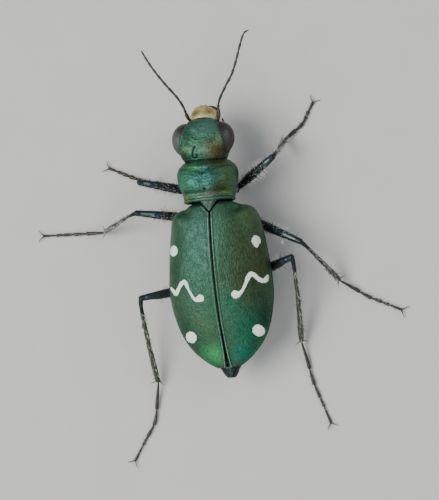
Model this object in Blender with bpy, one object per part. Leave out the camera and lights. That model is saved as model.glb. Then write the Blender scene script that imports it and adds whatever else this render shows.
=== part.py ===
"""A green tiger beetle as a still, life-size model that stands on its six feet.

Lengths are in millimetres until a mesh is made, then metres. The head points
along -Y, the back along +Z, and the beetle's left side along +X. The floor is
z = 0. Legs, head and antennae keep one standing pose, so nothing is jointed.
"""
import math

import bmesh
import bpy
from mathutils import Matrix, Vector

MM = 0.001                    # metres in one millimetre
GAP = 0.2                     # space that neighbouring pieces keep between them
THIN = 0.5                    # least thickness of a plate, feeler or shin
SLIVER = 0.008                # edges shorter than this are closed up after a cut or a union
SMOOTH_ANGLE = math.radians(40)       # faces that meet at less than this are shaded as one
CROWD = 0.75                  # how far a shape's stations are drawn towards its ends, 0 is even
ORIGIN = Vector((0.68, 0.21, 0.0))    # middle of the footprint, moved to the origin at the end

# Wing cases: stations along the body, from the shoulders to the tips
CASE_FRONT = -2.16
CASE_REAR = 6.0
CASE_HALF_WIDTH = [(-2.16, 1.36), (-2.08, 1.68), (-1.93, 1.95), (-1.75, 2.12), (-1.3, 2.31),
                   (0.4, 2.56), (2.0, 2.68), (3.2, 2.55), (4.3, 2.2), (5.1, 1.69), (5.7, 1.02),
                   (6.0, 0.55)]
CASE_PARTING = 4.3            # behind this place the inner edges draw apart
CASE_TIP_GAP = 0.18           # by this much each at the very tips
CASE_RIDGE = [(-2.16, 4.12), (-1.2, 4.32), (0.2, 4.35), (2.0, 4.15), (3.6, 3.72), (4.8, 3.17),
              (6.0, 2.55)]
CASE_EDGE = [(-2.16, 3.35), (-1.5, 3.0), (0.0, 2.85), (2.0, 2.72), (4.0, 2.5), (6.0, 2.3)]
CASE_ROUND = 2.35             # squareness of the arch over the back, 2 is an ellipse
CASE_STATIONS = 24
CASE_STEPS = 10               # facets across one case
BODY_X = -0.03                # where the body's line lies across at its middle
BODY_DRIFT = 0.018            # and drifts further left by this much for each millimetre back

# Trunk under the wing cases
TRUNK_FRONT = -2.25
TRUNK_REAR = 1.55
BELLY_REAR = 6.45
TRUNK_HALF_WIDTH = [(-2.25, 1.15), (-1.8, 1.85), (0.0, 2.12), (2.0, 2.3), (3.2, 2.15), (4.4, 1.66),
                    (5.4, 0.98), (6.1, 0.52), (6.45, 0.28)]
TRUNK_BOTTOM = [(-2.25, 2.05), (-1.6, 1.68), (0.6, 1.55), (3.0, 1.48), (5.0, 1.48), (6.0, 1.58),
                (6.45, 1.78)]
TAIL_TOP = [(5.6, 2.12), (6.1, 2.18), (6.45, 2.08)]
TRUNK_TUCK = 0.12             # the trunk is this much narrower once it is inside the wing cases
TRUNK_ROUND = 2.1
TRUNK_STEPS = 5
PLATE_ROOM = 0.1              # how far behind the scutellum the trunk stays low
BELLY_RINGS = 6
RING_GROOVE = 0.05            # depth of the grooves between the belly's rings
RING_CREST = 0.5              # share of a ring's length where it is fullest
RING_EDGE = 0.86              # and where it turns down into its groove

# Prothorax with its shield
SHIELD_X = 0.09
SHIELD_FRONT = -4.36
SHIELD_REAR = -2.46
SHIELD_HALF_WIDTH = [(-4.36, 1.27), (-4.22, 1.44), (-3.95, 1.56), (-3.6, 1.55), (-3.25, 1.47),
                     (-2.95, 1.36), (-2.75, 1.31), (-2.46, 1.3)]
SHIELD_TOP = [(-4.36, 4.26), (-4.2, 4.36), (-4.02, 4.33), (-3.8, 4.47), (-3.4, 4.52), (-3.05, 4.48),
              (-2.82, 4.33), (-2.6, 4.36), (-2.46, 4.3)]
SHIELD_BOTTOM = [(-4.36, 2.35), (-3.8, 2.1), (-3.1, 2.05), (-2.46, 2.3)]
SHIELD_ROUND = 2.35
SHIELD_RIM = 0.46             # share of its height at which it is widest
SHIELD_STATIONS = 19
SHIELD_STEPS = 8

# Triangular plate between the wing cases
SCUTELLUM_FRONT = -2.26
SCUTELLUM_APEX = -1.82
SCUTELLUM_HALF_WIDTH = 0.34
SCUTELLUM_TOP = 4.3
SCUTELLUM_BEVEL = 0.12
SCUTELLUM_CROWN = 0.62        # share of its outline that is left on top of the bevel

# Head, in a frame of its own that starts at the neck and is turned to the beetle's right
NECK = Vector((0.14, -4.56, 0.0))
HEAD_YAW = math.radians(-2.4)
HEAD_LENGTH = 2.14
HEAD_HALF_WIDTH = [(0.0, 1.07), (0.3, 1.17), (0.6, 1.26), (0.95, 1.3), (1.25, 1.28), (1.5, 1.17),
                   (1.75, 1.0), (1.95, 0.8), (2.08, 0.6), (2.14, 0.44)]
HEAD_TOP = [(0.0, 4.1), (0.3, 4.28), (0.75, 4.35), (1.2, 4.3), (1.5, 4.18), (1.75, 4.04),
            (1.95, 3.88), (2.08, 3.74), (2.14, 3.64)]
HEAD_BOTTOM = [(0.0, 2.45), (0.5, 2.15), (1.2, 2.08), (1.75, 2.1), (1.95, 2.25), (2.08, 2.5),
               (2.14, 2.76)]
HEAD_HOLLOW = 0.08            # dip of the brow between the eyes
HOLLOW_ALONG = 1.15
HOLLOW_REACH = 0.55
HEAD_ROUND = 3.0
HEAD_STATIONS = 17
HEAD_STEPS = 8

EYE_OUT = 1.11
EYE_ALONG = 1.06
EYE_HEIGHT = 3.5
EYE_RADII = Vector((0.51, 0.83, 0.53))
EYE_TOE_IN = math.radians(9)

LABRUM_START = HEAD_LENGTH + GAP
LABRUM_LENGTH = 0.54
LABRUM_HALF_WIDTH = [(0.0, 0.64), (0.4, 0.64), (0.75, 0.59), (0.92, 0.52), (1.0, 0.42)]
LABRUM_TOP = 3.22
LABRUM_DROP = 0.38            # how far its front edge lies below its root
LABRUM_ARCH = 0.16
LABRUM_THINNING = 0.45        # share of its thickness that it loses towards the front edge
LABRUM_TOOTH = 0.06

JAW_ROOT = Vector((0.5, 2.3, 2.2))
JAW_ELBOW = Vector((0.68, 2.7, 2.08))
JAW_TIP = Vector((0.13, 3.06, 2.16))
JAW_RADIUS = 0.25
JAW_TAPER = 0.8               # share of its thickness that it loses towards the tip
CHEEK_PALP = [Vector((0.66, 1.74, 1.93)), Vector((0.74, 2.1, 1.68)), Vector((0.8, 2.55, 1.52)),
              Vector((0.68, 2.98, 1.46))]
CHIN_PALP = [Vector((0.31, 1.35, 1.8)), Vector((0.31, 1.6, 1.5)), Vector((0.32, 2.1, 1.2)),
             Vector((0.3, 2.6, 1.1))]
PALP_RADIUS = 0.22
PALP_TIP_RADIUS = 0.14
PALP_JOINTS = 3

# Feelers: the root is on the head, the other places are where they stand in the air
ANTENNA_ROOT = Vector((0.89, 2.23, 3.38))
ANTENNA_LEFT = [(0.90, -7.32, 3.8), (1.02, -7.74, 4.35), (1.5, -8.6, 5.3), (1.86, -9.33, 5.95),
                (2.14, -10.08, 6.5)]
ANTENNA_RIGHT = [(-0.96, -7.34, 3.85), (-1.62, -8.02, 4.8), (-2.12, -8.5, 5.35), (-2.55, -9.08, 5.95),
                 (-2.98, -9.84, 6.5), (-3.28, -10.3, 6.75), (-3.56, -10.38, 6.9)]
ANTENNA_RADIUS = 0.26
ANTENNA_TIP_RADIUS = 0.11
ANTENNA_JOINTS = 11
JOINT_SWELL = 0.16            # share by which each joint of a feeler or foot is thicker at its far end

# Legs: hip, knee, ankle, a place on the foot's curve, and the toe, in the standing pose
HIP = {"front": Vector((0.85, -3.05, 1.52)), "middle": Vector((1.0, -1.75, 1.28)),
       "hind": Vector((0.72, 1.6, 1.22))}
COXA = {"front": Vector((0.52, -3.2, 1.8)), "middle": Vector((0.6, -1.72, 1.5)),
        "hind": Vector((0.5, 1.25, 1.5))}
COXA_RADII = {"front": Vector((0.4, 0.5, 0.5)), "middle": Vector((0.42, 0.46, 0.42)),
              "hind": Vector((0.4, 0.42, 0.36))}
TROCHANTER_RADIUS = 0.27
POSE = {
    "front_right": [(-3.51, -4.58, 2.75), (-3.56, -5.42, 0.42), (-4.35, -6.1, 0.2), (-5.05, -7.3, 0.17)],
    "middle_right": [(-4.25, -0.08, 2.35), (-5.62, 1.92, 0.42), (-7.0, 2.85, 0.2), (-8.7, 3.8, 0.17)],
    "hind_right": [(-3.85, 0.71, 2.8), (-3.4, 4.93, 0.42), (-3.75, 7.1, 0.2), (-4.48, 9.3, 0.17)],
    "front_left": [(3.96, -3.91, 2.6), (3.9, -3.95, 0.42), (5.0, -4.45, 0.2), (6.2, -5.06, 0.17)],
    "middle_left": [(4.42, -2.47, 2.4), (6.62, -1.86, 0.42), (8.4, -1.78, 0.2), (10.1, -1.87, 0.17)],
    "hind_left": [(4.5, 2.07, 2.3), (4.4, 6.4, 0.42), (4.85, 8.4, 0.2), (6.12, 10.35, 0.17)],
}
FEMUR_PROFILE = [(0.0, 0.25), (0.35, 0.29), (0.8, 0.25), (1.0, 0.25)]
TIBIA_RADIUS = 0.25
FOOT_RADIUS = 0.25
FOOT_TIP_RADIUS = 0.19
FOOT_JOINTS = 5
SPUR_LENGTH = {"front": 0.55, "middle": 0.6, "hind": 0.7}
SPUR_RADIUS = 0.12
SPUR_ROOT = 0.5               # the spurs grow this far above the ankle
SPUR_END = 0.12               # and end this far above it
SPUR_SET = 0.1                # and are rooted this far off the shin's middle
CLAW_LENGTH = 0.55
CLAW_RADIUS = 0.11
CLAW_SPREAD = math.radians(28)
CLAW_SET = 0.12               # the claws are rooted this far inside the last foot joint
CLAW_TIP_HEIGHT = 0.04
CLAW_ARCH = 0.07
SPIKE_TAPER = 0.8


def remove_everything():
    for item in list(bpy.data.objects):
        bpy.data.objects.remove(item, do_unlink=True)


def paint(name, colour, roughness, metallic):
    """A plain finish in the beetle's own colour for one piece."""
    material = bpy.data.materials.new(name)
    material.use_nodes = True
    shader = material.node_tree.nodes["Principled BSDF"]
    shader.inputs["Base Color"].default_value = (*colour, 1.0)
    shader.inputs["Roughness"].default_value = roughness
    shader.inputs["Metallic"].default_value = metallic
    return material


def smooth(stations, place):
    """Value at a place on the smooth curve through (place, value) stations."""
    if place <= stations[0][0]:
        return stations[0][1]
    if place >= stations[-1][0]:
        return stations[-1][1]
    last = len(stations) - 1
    low = max(i for i in range(last) if stations[i][0] <= place)
    slopes = []
    for i in (low, low + 1):
        before, after = stations[max(i - 1, 0)], stations[min(i + 1, last)]
        slopes.append((after[1] - before[1]) / (after[0] - before[0]))
    (x0, y0), (x1, y1) = stations[low], stations[low + 1]
    span = x1 - x0
    t = (place - x0) / span
    return (y0 * (1 + 2 * t) * (1 - t) ** 2 + y1 * t * t * (3 - 2 * t)
            + span * (slopes[0] * t * (1 - t) ** 2 - slopes[1] * t * t * (1 - t)))


def curve_point(points, t):
    """Place at t (0 to 1) on a smooth curve through the points, evenly timed by distance."""
    distances = [0.0]
    for a, b in zip(points, points[1:]):
        distances.append(distances[-1] + (b - a).length)
    place = t * distances[-1]
    return Vector([smooth([(d, p[axis]) for d, p in zip(distances, points)], place) for axis in range(3)])


def arch(half_width, height, squareness, steps, inner=0.0):
    """(out, up) places on a superellipse, from its side to the place that is inner from the middle."""
    last = math.acos(min((inner / half_width) ** (squareness / 2), 0.999))
    places = []
    for i in range(steps + 1):
        angle = last * i / steps
        places.append((half_width * max(math.cos(angle), 0.0) ** (2 / squareness),
                       height * math.sin(angle) ** (2 / squareness)))
    return places


def spread(first, last, count, crowd=0.0):
    """Stations from first to last; crowd above 0 sets them closer together at both ends."""
    places = []
    for i in range(count):
        t = i / (count - 1)
        eased = 0.5 - 0.5 * math.cos(math.pi * t)
        places.append(first + (last - first) * (t + crowd * (eased - t)))
    return places


def add_piece(name, bm, material=None):
    """Turn millimetre geometry into one object with its faces pointing out."""
    bmesh.ops.triangulate(bm, faces=bm.faces[:])
    bmesh.ops.recalc_face_normals(bm, faces=bm.faces[:])
    if bm.calc_volume(signed=True) < 0:
        bmesh.ops.reverse_faces(bm, faces=bm.faces[:])
    bmesh.ops.scale(bm, vec=Vector((MM, MM, MM)), verts=bm.verts[:])
    mesh = bpy.data.meshes.new(name)
    bm.to_mesh(mesh)
    bm.free()
    piece = bpy.data.objects.new(name, mesh)
    bpy.context.scene.collection.objects.link(piece)
    if material:
        mesh.materials.append(material)
        mesh.shade_smooth()
        mesh.set_sharp_from_angle(angle=SMOOTH_ANGLE)
    return piece


def loft(name, rings, material=None, shell=False):
    """A closed skin over rings of equally many places, with both ends filled.

    A shell's ring runs out along its outer face and back along its inner one,
    and its ends are filled by a strip between the two.
    """
    bm = bmesh.new()
    rows = [[bm.verts.new(place) for place in ring] for ring in rings]
    count = len(rows[0])
    for row, following in zip(rows, rows[1:]):
        for i in range(count):
            j = (i + 1) % count
            bm.faces.new((row[i], row[j], following[j], following[i]))
    for row in (rows[0], rows[-1]):
        if shell:
            for i in range(count // 2 - 1):
                bm.faces.new((row[i], row[i + 1], row[-2 - i], row[-1 - i]))
        else:
            bm.faces.new(row)
    return add_piece(name, bm, material)


def tube_rings(path, radius, stations, sides=8, flatten=1.0):
    """Rings across a curved path; radius is a function of t, flatten narrows the ring's height."""
    step = 0.001
    rings = []
    up = Vector((0.0, 0.0, 1.0))
    for t in stations:
        centre = curve_point(path, t)
        along = (curve_point(path, min(t + step, 1.0)) - curve_point(path, max(t - step, 0.0))).normalized()
        side = along.cross(up)
        if side.length < 0.2:     # nearly upright, so the other axis gives the better side
            side = along.cross(Vector((0.0, 1.0, 0.0)))
        side.normalize()
        rise = side.cross(along)
        ring = []
        for i in range(sides):
            angle = 2 * math.pi * i / sides
            ring.append(centre + side * radius(t) * math.cos(angle)
                        + rise * radius(t) * flatten * math.sin(angle))
        rings.append(ring)
    return rings


def ball(name, centre, radii, material=None, columns=12, rows=8, turn=None):
    bm = bmesh.new()
    bmesh.ops.create_uvsphere(bm, u_segments=columns, v_segments=rows, radius=1.0)
    place = Matrix.Translation(centre) @ (turn or Matrix.Identity(4)) @ Matrix.Diagonal((*radii, 1.0))
    bmesh.ops.transform(bm, matrix=place, verts=bm.verts[:])
    return add_piece(name, bm, material)


def keep_largest(piece):
    """Leave only the biggest closed surface of a piece."""
    bm = bmesh.new()
    bm.from_mesh(piece.data)
    unseen = set(bm.verts)
    shells = []
    while unseen:
        heap = [unseen.pop()]
        shell = set(heap)
        while heap:
            for edge in heap.pop().link_edges:
                for vert in edge.verts:
                    if vert in unseen:
                        unseen.discard(vert)
                        shell.add(vert)
                        heap.append(vert)
        shells.append(shell)
    shells.sort(key=lambda shell: math.prod(max(v.co[a] for v in shell) - min(v.co[a] for v in shell)
                                            for a in range(3)))
    for shell in shells[:-1]:
        bmesh.ops.delete(bm, geom=list(shell), context="VERTS")
    bmesh.ops.remove_doubles(bm, verts=bm.verts[:], dist=SLIVER * MM)
    bmesh.ops.dissolve_degenerate(bm, edges=bm.edges[:], dist=SLIVER * MM)
    bmesh.ops.triangulate(bm, faces=bm.faces[:])
    bm.to_mesh(piece.data)
    bm.free()


def combine(piece, helpers, operation):
    """Join helpers to a piece, or cut them from it, and remove them."""
    group = bpy.data.collections.new(piece.name + "_helpers")
    bpy.context.scene.collection.children.link(group)
    for helper in helpers:
        bpy.context.scene.collection.objects.unlink(helper)
        group.objects.link(helper)
    modifier = piece.modifiers.new("combine", "BOOLEAN")
    modifier.operand_type = "COLLECTION"
    modifier.collection = group
    modifier.operation = operation
    modifier.solver = "EXACT"
    bpy.context.view_layer.objects.active = piece
    with bpy.context.temp_override(object=piece, active_object=piece, selected_objects=[piece]):
        bpy.ops.object.modifier_apply(modifier=modifier.name)
    for helper in helpers:
        bpy.data.objects.remove(helper, do_unlink=True)
    bpy.data.collections.remove(group)
    keep_largest(piece)


def on_side(place, leg):
    """A place given for the left side, on the side that the leg is on."""
    return Vector((-place.x, place.y, place.z)) if leg.endswith("right") else place


def body_line(y):
    """Where the middle of the body lies across, at a place along it."""
    return BODY_X + BODY_DRIFT * y


def case_inner(y):
    """Inner edge of a wing case: round the scutellum, along the seam, then apart at the tips."""
    slope = SCUTELLUM_HALF_WIDTH / (SCUTELLUM_APEX - SCUTELLUM_FRONT)
    beside_plate = (SCUTELLUM_APEX - y) * slope + GAP * math.hypot(1.0, slope)
    opening = max(0.0, (y - CASE_PARTING) / (CASE_REAR - CASE_PARTING))
    return max(GAP / 2, beside_plate) + CASE_TIP_GAP * opening ** 2


def case_height(y):
    return smooth(CASE_RIDGE, y) - smooth(CASE_EDGE, y)


def wing_case(name, side, material):
    """One wing case: a shell half as wide as the back, open below, ending in a rounded tip."""
    rings = []
    for y in spread(CASE_FRONT, CASE_REAR, CASE_STATIONS, CROWD):
        inner = case_inner(y)
        width = smooth(CASE_HALF_WIDTH, y)
        edge = smooth(CASE_EDGE, y)
        height = case_height(y)
        wall = min(THIN, 0.55 * (width - inner))
        outer = [(x, edge + z) for x, z in arch(width, height, CASE_ROUND, CASE_STEPS, inner)]
        hollow = max(height - THIN, 0.2 * height)
        under = [(x, edge + z) for x, z in arch(width - wall, hollow, CASE_ROUND, CASE_STEPS, inner)]
        section = outer + under[::-1]
        rings.append([Vector((body_line(y) + side * x, y, z)) for x, z in section])
    return loft(name, rings, material, shell=True)


def trunk_ring(y, groove=0.0):
    """Section of the body: wide below the wing cases' edge, narrower inside them."""
    low = smooth(TRUNK_HALF_WIDTH, y) - groove
    waist = smooth(CASE_EDGE, y) - GAP
    bottom = smooth(TRUNK_BOTTOM, y) + groove
    room = smooth(CASE_HALF_WIDTH, y) - THIN - GAP
    high = max(min(low - TRUNK_TUCK, room), 0.2)
    top = max(smooth(CASE_RIDGE, y) - THIN - GAP, waist + 0.04)
    if y > TAIL_TOP[0][0]:
        top = smooth(TAIL_TOP, y)
        waist = top - 0.1
        high = low - 0.08
    if y < SCUTELLUM_APEX + PLATE_ROOM:
        top = min(top, SCUTELLUM_TOP - THIN - GAP)
        high = SCUTELLUM_HALF_WIDTH
    below = [(x, waist - z) for x, z in arch(low, waist - bottom, TRUNK_ROUND, TRUNK_STEPS)]
    above = [(x, waist + z) for x, z in arch(high, top - waist, CASE_ROUND, TRUNK_STEPS - 1)]
    half = below[::-1] + above
    middle = body_line(y)
    ring = [Vector((middle + x, y, z)) for x, z in half]
    ring += [Vector((middle - x, y, z)) for x, z in half[-2:0:-1]]
    return ring


def trunk(material):
    """Middle and rear thorax in one, between the prothorax and the belly."""
    stations = [TRUNK_FRONT, -2.05, -1.85] + spread(-1.5, TRUNK_REAR, 6)
    return loft("thorax", [trunk_ring(y) for y in stations], material)


def belly(material):
    """Abdomen with a shallow groove behind each of its rings, out to the tip past the cases."""
    start = TRUNK_REAR + GAP
    rings = [trunk_ring(start)]
    length = (BELLY_REAR - start) / BELLY_RINGS
    for i in range(BELLY_RINGS):
        first = start + i * length
        rings.append(trunk_ring(first + RING_CREST * length))
        rings.append(trunk_ring(first + RING_EDGE * length))
        if i < BELLY_RINGS - 1:
            rings.append(trunk_ring(first + length, RING_GROOVE))
    rings.append(trunk_ring(BELLY_REAR))
    return loft("abdomen", rings, material)


def shield_ring(y):
    width = smooth(SHIELD_HALF_WIDTH, y)
    top = smooth(SHIELD_TOP, y)
    bottom = smooth(SHIELD_BOTTOM, y)
    rim = bottom + SHIELD_RIM * (top - bottom)
    above = [(x, rim + z) for x, z in arch(width, top - rim, SHIELD_ROUND, SHIELD_STEPS)]
    below = [(x, rim - z) for x, z in arch(width, rim - bottom, SHIELD_ROUND, SHIELD_STEPS)]
    half = below[::-1] + above[1:]
    ring = [Vector((SHIELD_X + x, y, z)) for x, z in half]
    ring += [Vector((SHIELD_X - x, y, z)) for x, z in half[-2:0:-1]]
    return ring


def shield(material):
    """Prothorax: the shield above and the sternum below are one closed ring of armour."""
    stations = spread(SHIELD_FRONT, SHIELD_REAR, SHIELD_STATIONS, CROWD)
    return loft("prothorax", [shield_ring(y) for y in stations], material)


def scutellum(material):
    """The small three-cornered plate at the root of the wing cases, bevelled round its top."""
    middle = body_line(SCUTELLUM_APEX)
    corners = [(middle + SCUTELLUM_HALF_WIDTH, SCUTELLUM_FRONT), (middle, SCUTELLUM_APEX),
               (middle - SCUTELLUM_HALF_WIDTH, SCUTELLUM_FRONT)]
    centre = Vector((middle, (2 * SCUTELLUM_FRONT + SCUTELLUM_APEX) / 3, 0.0))
    rings = []
    for drop, share in ((THIN, 1.0), (SCUTELLUM_BEVEL, 1.0), (0.0, SCUTELLUM_CROWN)):
        lift = Vector((0.0, 0.0, SCUTELLUM_TOP - drop))
        rings.append([centre + (Vector((x, y, 0.0)) - centre) * share + lift for x, y in corners])
    return loft("scutellum", rings, material)


def from_neck(place):
    """Head places run forward from the neck; this puts them in the beetle's frame."""
    turned = Matrix.Rotation(HEAD_YAW, 4, "Z") @ Vector((place.x, -place.y, place.z))
    return turned + NECK


def head_ring(along):
    width = smooth(HEAD_HALF_WIDTH, along)
    top = smooth(HEAD_TOP, along)
    bottom = smooth(HEAD_BOTTOM, along)
    middle = bottom + 0.5 * (top - bottom)
    hollow = HEAD_HOLLOW * math.exp(-((along - HOLLOW_ALONG) / HOLLOW_REACH) ** 2)
    above = [(x, middle + z - hollow * (1 - (x / width) ** 2))
             for x, z in arch(width, top - middle, HEAD_ROUND, HEAD_STEPS)]
    below = [(x, middle - z) for x, z in arch(width, middle - bottom, HEAD_ROUND, HEAD_STEPS - 2)]
    half = below[::-1] + above[1:]
    ring = [from_neck(Vector((x, along, z))) for x, z in half]
    ring += [from_neck(Vector((-x, along, z))) for x, z in half[-2:0:-1]]
    return ring


def eye_ball(name, side, extra, material=None):
    """A bulging eye, or with extra the room that it takes in the head."""
    centre = from_neck(Vector((side * EYE_OUT, EYE_ALONG, EYE_HEIGHT)))
    turn = Matrix.Rotation(HEAD_YAW + side * EYE_TOE_IN, 4, "Z")
    return ball(name, centre, EYE_RADII + Vector((extra, extra, extra)), material, 18, 12, turn)


def head(material):
    stations = spread(0.0, HEAD_LENGTH, HEAD_STATIONS, CROWD / 2)
    piece = loft("head", [head_ring(along) for along in stations], material)
    combine(piece, [eye_ball("room", side, GAP) for side in (1, -1)], "DIFFERENCE")
    return piece


def labrum(material):
    """Upper lip: a broad arched plate that slopes down over the jaws, with a blunt middle tooth."""
    rings = []
    for t in (0.0, 0.2, 0.45, 0.7, 0.87, 1.0):
        width = smooth(LABRUM_HALF_WIDTH, t)
        along = LABRUM_START + LABRUM_LENGTH * t
        top = LABRUM_TOP - LABRUM_DROP * t ** 1.3
        thick = THIN * (1.0 - LABRUM_THINNING * t)
        upper = [(width * k / 4, top - LABRUM_ARCH * (k / 4) ** 2) for k in range(-4, 5)]
        lower = [(x, z - thick) for x, z in upper[::-1]]
        reach = [LABRUM_TOOTH * (1 - abs(x) / width) ** 2 * t ** 4 for x, z in upper + lower]
        rings.append([from_neck(Vector((x, along + far, z))) for (x, z), far in zip(upper + lower, reach)])
    return loft("labrum", rings, material)


def jaw(name, side, material):
    places = [JAW_ROOT, JAW_ELBOW, JAW_TIP]
    path = [from_neck(Vector((side * p.x, p.y, p.z))) for p in places]
    rings = tube_rings(path, lambda t: JAW_RADIUS * (1 - JAW_TAPER * t ** 1.6), spread(0, 1, 6), 8, 0.8)
    return loft(name, rings, material)


def jointed(t, joints, root, tip):
    """Radius of a jointed limb, each joint swelling towards its far end."""
    within = (t * joints) % 1.0 if t < 1.0 else 1.0
    return (root + (tip - root) * t) * (1 - JOINT_SWELL * (1 - within))


def joint_stations(joints):
    stations = []
    for i in range(joints):
        stations += [i / joints + 0.002, (i + 0.9) / joints]
    return stations + [1.0]


def palp(name, side, places, material):
    path = [from_neck(Vector((side * p.x, p.y, p.z))) for p in places]
    rings = tube_rings(path, lambda t: jointed(t, PALP_JOINTS, PALP_RADIUS, PALP_TIP_RADIUS),
                       joint_stations(PALP_JOINTS), 8)
    return loft(name, rings, material)


def antenna(name, side, places, material):
    path = [from_neck(Vector((side * ANTENNA_ROOT.x, ANTENNA_ROOT.y, ANTENNA_ROOT.z)))]
    path += [Vector(place) for place in places]
    rings = tube_rings(path, lambda t: jointed(t, ANTENNA_JOINTS, ANTENNA_RADIUS, ANTENNA_TIP_RADIUS),
                       joint_stations(ANTENNA_JOINTS), 8)
    return loft(name, rings, material)


def on_plane(ring, place, normal, along):
    """The ring's places slid along a direction onto a plane."""
    return [p + along * ((place - p).dot(normal) / along.dot(normal)) for p in ring]


def bend(before, after):
    """Normal of the plane that parts two lengths of a leg where they meet."""
    return (before.normalized() + after.normalized()).normalized()


def leg_places(leg):
    """Hip, knee, ankle, foot and toe of one leg."""
    hip = on_side(HIP[leg.split("_")[0]], leg)
    return [hip] + [Vector(place) for place in POSE[leg]]


def coxa_centre(leg):
    return on_side(COXA[leg.split("_")[0]], leg)


def femur_rings(leg, extra=0.0):
    """Thigh from the trochanter to the knee, thickest a third of the way along."""
    hip, knee, ankle = leg_places(leg)[:3]
    along = (knee - hip).normalized()
    start = hip + along * (TROCHANTER_RADIUS + GAP - extra)
    stations = [0.0, 0.12, 0.35, 0.55, 0.72, 1.0]
    rings = tube_rings([start, knee], lambda t: smooth(FEMUR_PROFILE, t) + extra, stations)
    parting = bend(along, ankle - knee)
    rings[-1] = on_plane(rings[-1], knee - parting * GAP / 2, parting, along)
    return rings


def coxa(leg, material):
    """Hip piece, set in the body, with the small trochanter that carries the thigh."""
    pair = leg.split("_")[0]
    piece = ball("coxa_" + leg, coxa_centre(leg), COXA_RADII[pair], material, 12, 8)
    radius = TROCHANTER_RADIUS
    knob = ball("knob", leg_places(leg)[0], Vector((radius, radius, radius)), None, 10, 8)
    combine(piece, [knob], "UNION")
    return piece


def hip_room(leg):
    """The space that a hip, its trochanter and the thigh take from the body above them."""
    pair = leg.split("_")[0]
    radius = TROCHANTER_RADIUS + GAP
    return [ball("room", coxa_centre(leg), COXA_RADII[pair] + Vector((GAP, GAP, GAP)), None, 12, 8),
            ball("room", leg_places(leg)[0], Vector((radius, radius, radius)), None, 10, 8),
            loft("room", femur_rings(leg, GAP))]


def spike(name, root, tip, radius, sag=0.0):
    """A tapering spine from root to tip, bent by sag."""
    middle = (root + tip) / 2 + Vector((0.0, 0.0, sag))
    rings = tube_rings([root, middle, tip], lambda t: radius * (1 - SPIKE_TAPER * t), (0.0, 0.5, 1.0), 5)
    return loft(name, rings)


def tibia(leg, material):
    """Shin from the knee to the ankle, with two spurs at its far end."""
    hip, knee, ankle, foot, toe = leg_places(leg)
    pair = leg.split("_")[0]
    along = (ankle - knee).normalized()
    onward = (foot - ankle).normalized()
    rings = tube_rings([knee, ankle], lambda t: TIBIA_RADIUS, [0.0, 0.3, 0.5, 0.75, 1.0])
    parting = bend(knee - hip, along)
    rings[0] = on_plane(rings[0], knee + parting * GAP / 2, parting, along)
    parting = bend(along, onward)
    rings[-1] = on_plane(rings[-1], ankle - parting * GAP / 2, parting, along)
    piece = loft("tibia_" + leg, rings, material)
    across = onward.cross(Vector((0.0, 0.0, 1.0))).normalized()
    spurs = []
    for turn in (-1, 1):
        root = ankle - along * SPUR_ROOT + across * turn * SPUR_SET
        tip = ankle - along * SPUR_END + across * turn * SPUR_LENGTH[pair]
        spurs.append(spike("spur", root, tip, SPUR_RADIUS))
    combine(piece, spurs, "UNION")
    return piece


def tarsus(leg, material):
    """Foot of five joints that flattens onto the floor at its far end, with two claws."""
    hip, knee, ankle, foot, toe = leg_places(leg)
    onward = (foot - ankle).normalized()
    rings = tube_rings([ankle, foot, toe], lambda t: jointed(t, FOOT_JOINTS, FOOT_RADIUS, FOOT_TIP_RADIUS),
                       joint_stations(FOOT_JOINTS), 8)
    parting = bend(ankle - knee, onward)
    rings[0] = on_plane(rings[0], ankle + parting * GAP / 2, parting, onward)
    piece = loft("tarsus_" + leg, rings, material)
    forward = (toe - foot).normalized()
    claws = []
    for turn in (-1, 1):
        direction = Matrix.Rotation(turn * CLAW_SPREAD, 4, "Z") @ forward
        tip = toe + direction * CLAW_LENGTH
        tip.z = CLAW_TIP_HEIGHT
        claws.append(spike("claw", toe - forward * CLAW_SET, tip, CLAW_RADIUS, CLAW_ARCH))
    combine(piece, claws, "UNION")
    for vert in piece.data.vertices:
        vert.co.z = max(vert.co.z, 0.0)
    return piece


def move_origin():
    """Put the middle of the footprint at the world origin."""
    for piece in bpy.data.objects:
        for vert in piece.data.vertices:
            vert.co -= ORIGIN * MM
        piece.data.update()


def main():
    remove_everything()
    armour = paint("green_armour", (0.02, 0.13, 0.07), 0.45, 0.35)
    under = paint("dark_underside", (0.012, 0.05, 0.04), 0.35, 0.4)
    case = paint("wing_case", (0.015, 0.11, 0.06), 0.5, 0.25)
    leg_finish = paint("leg_green", (0.02, 0.05, 0.035), 0.4, 0.4)
    ivory = paint("ivory_lip", (0.62, 0.5, 0.25), 0.4, 0.0)
    horn = paint("dark_horn", (0.03, 0.02, 0.015), 0.3, 0.0)
    eye = paint("eye", (0.05, 0.04, 0.035), 0.25, 0.0)

    wing_case("elytron_left", 1, case)
    wing_case("elytron_right", -1, case)
    body = trunk(under)
    rear = belly(under)
    front = shield(armour)
    scutellum(armour)
    head(armour)
    labrum(ivory)
    for side, word in ((1, "left"), (-1, "right")):
        eye_ball("eye_" + word, side, 0.0, eye)
        jaw("mandible_" + word, side, horn)
        palp("maxillary_palp_" + word, side, CHEEK_PALP, horn)
        palp("labial_palp_" + word, side, CHIN_PALP, horn)
    antenna("antenna_left", 1, ANTENNA_LEFT, horn)
    antenna("antenna_right", -1, ANTENNA_RIGHT, horn)
    for leg in POSE:
        coxa(leg, leg_finish)
        loft("femur_" + leg, femur_rings(leg), leg_finish)
        tibia(leg, leg_finish)
        tarsus(leg, leg_finish)
    for piece, pairs in ((front, ("front",)), (body, ("middle", "hind")), (rear, ("hind",))):
        rooms = []
        for leg in POSE:
            if leg.split("_")[0] in pairs:
                rooms += hip_room(leg)
        combine(piece, rooms, "DIFFERENCE")
    move_origin()


main()
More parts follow.
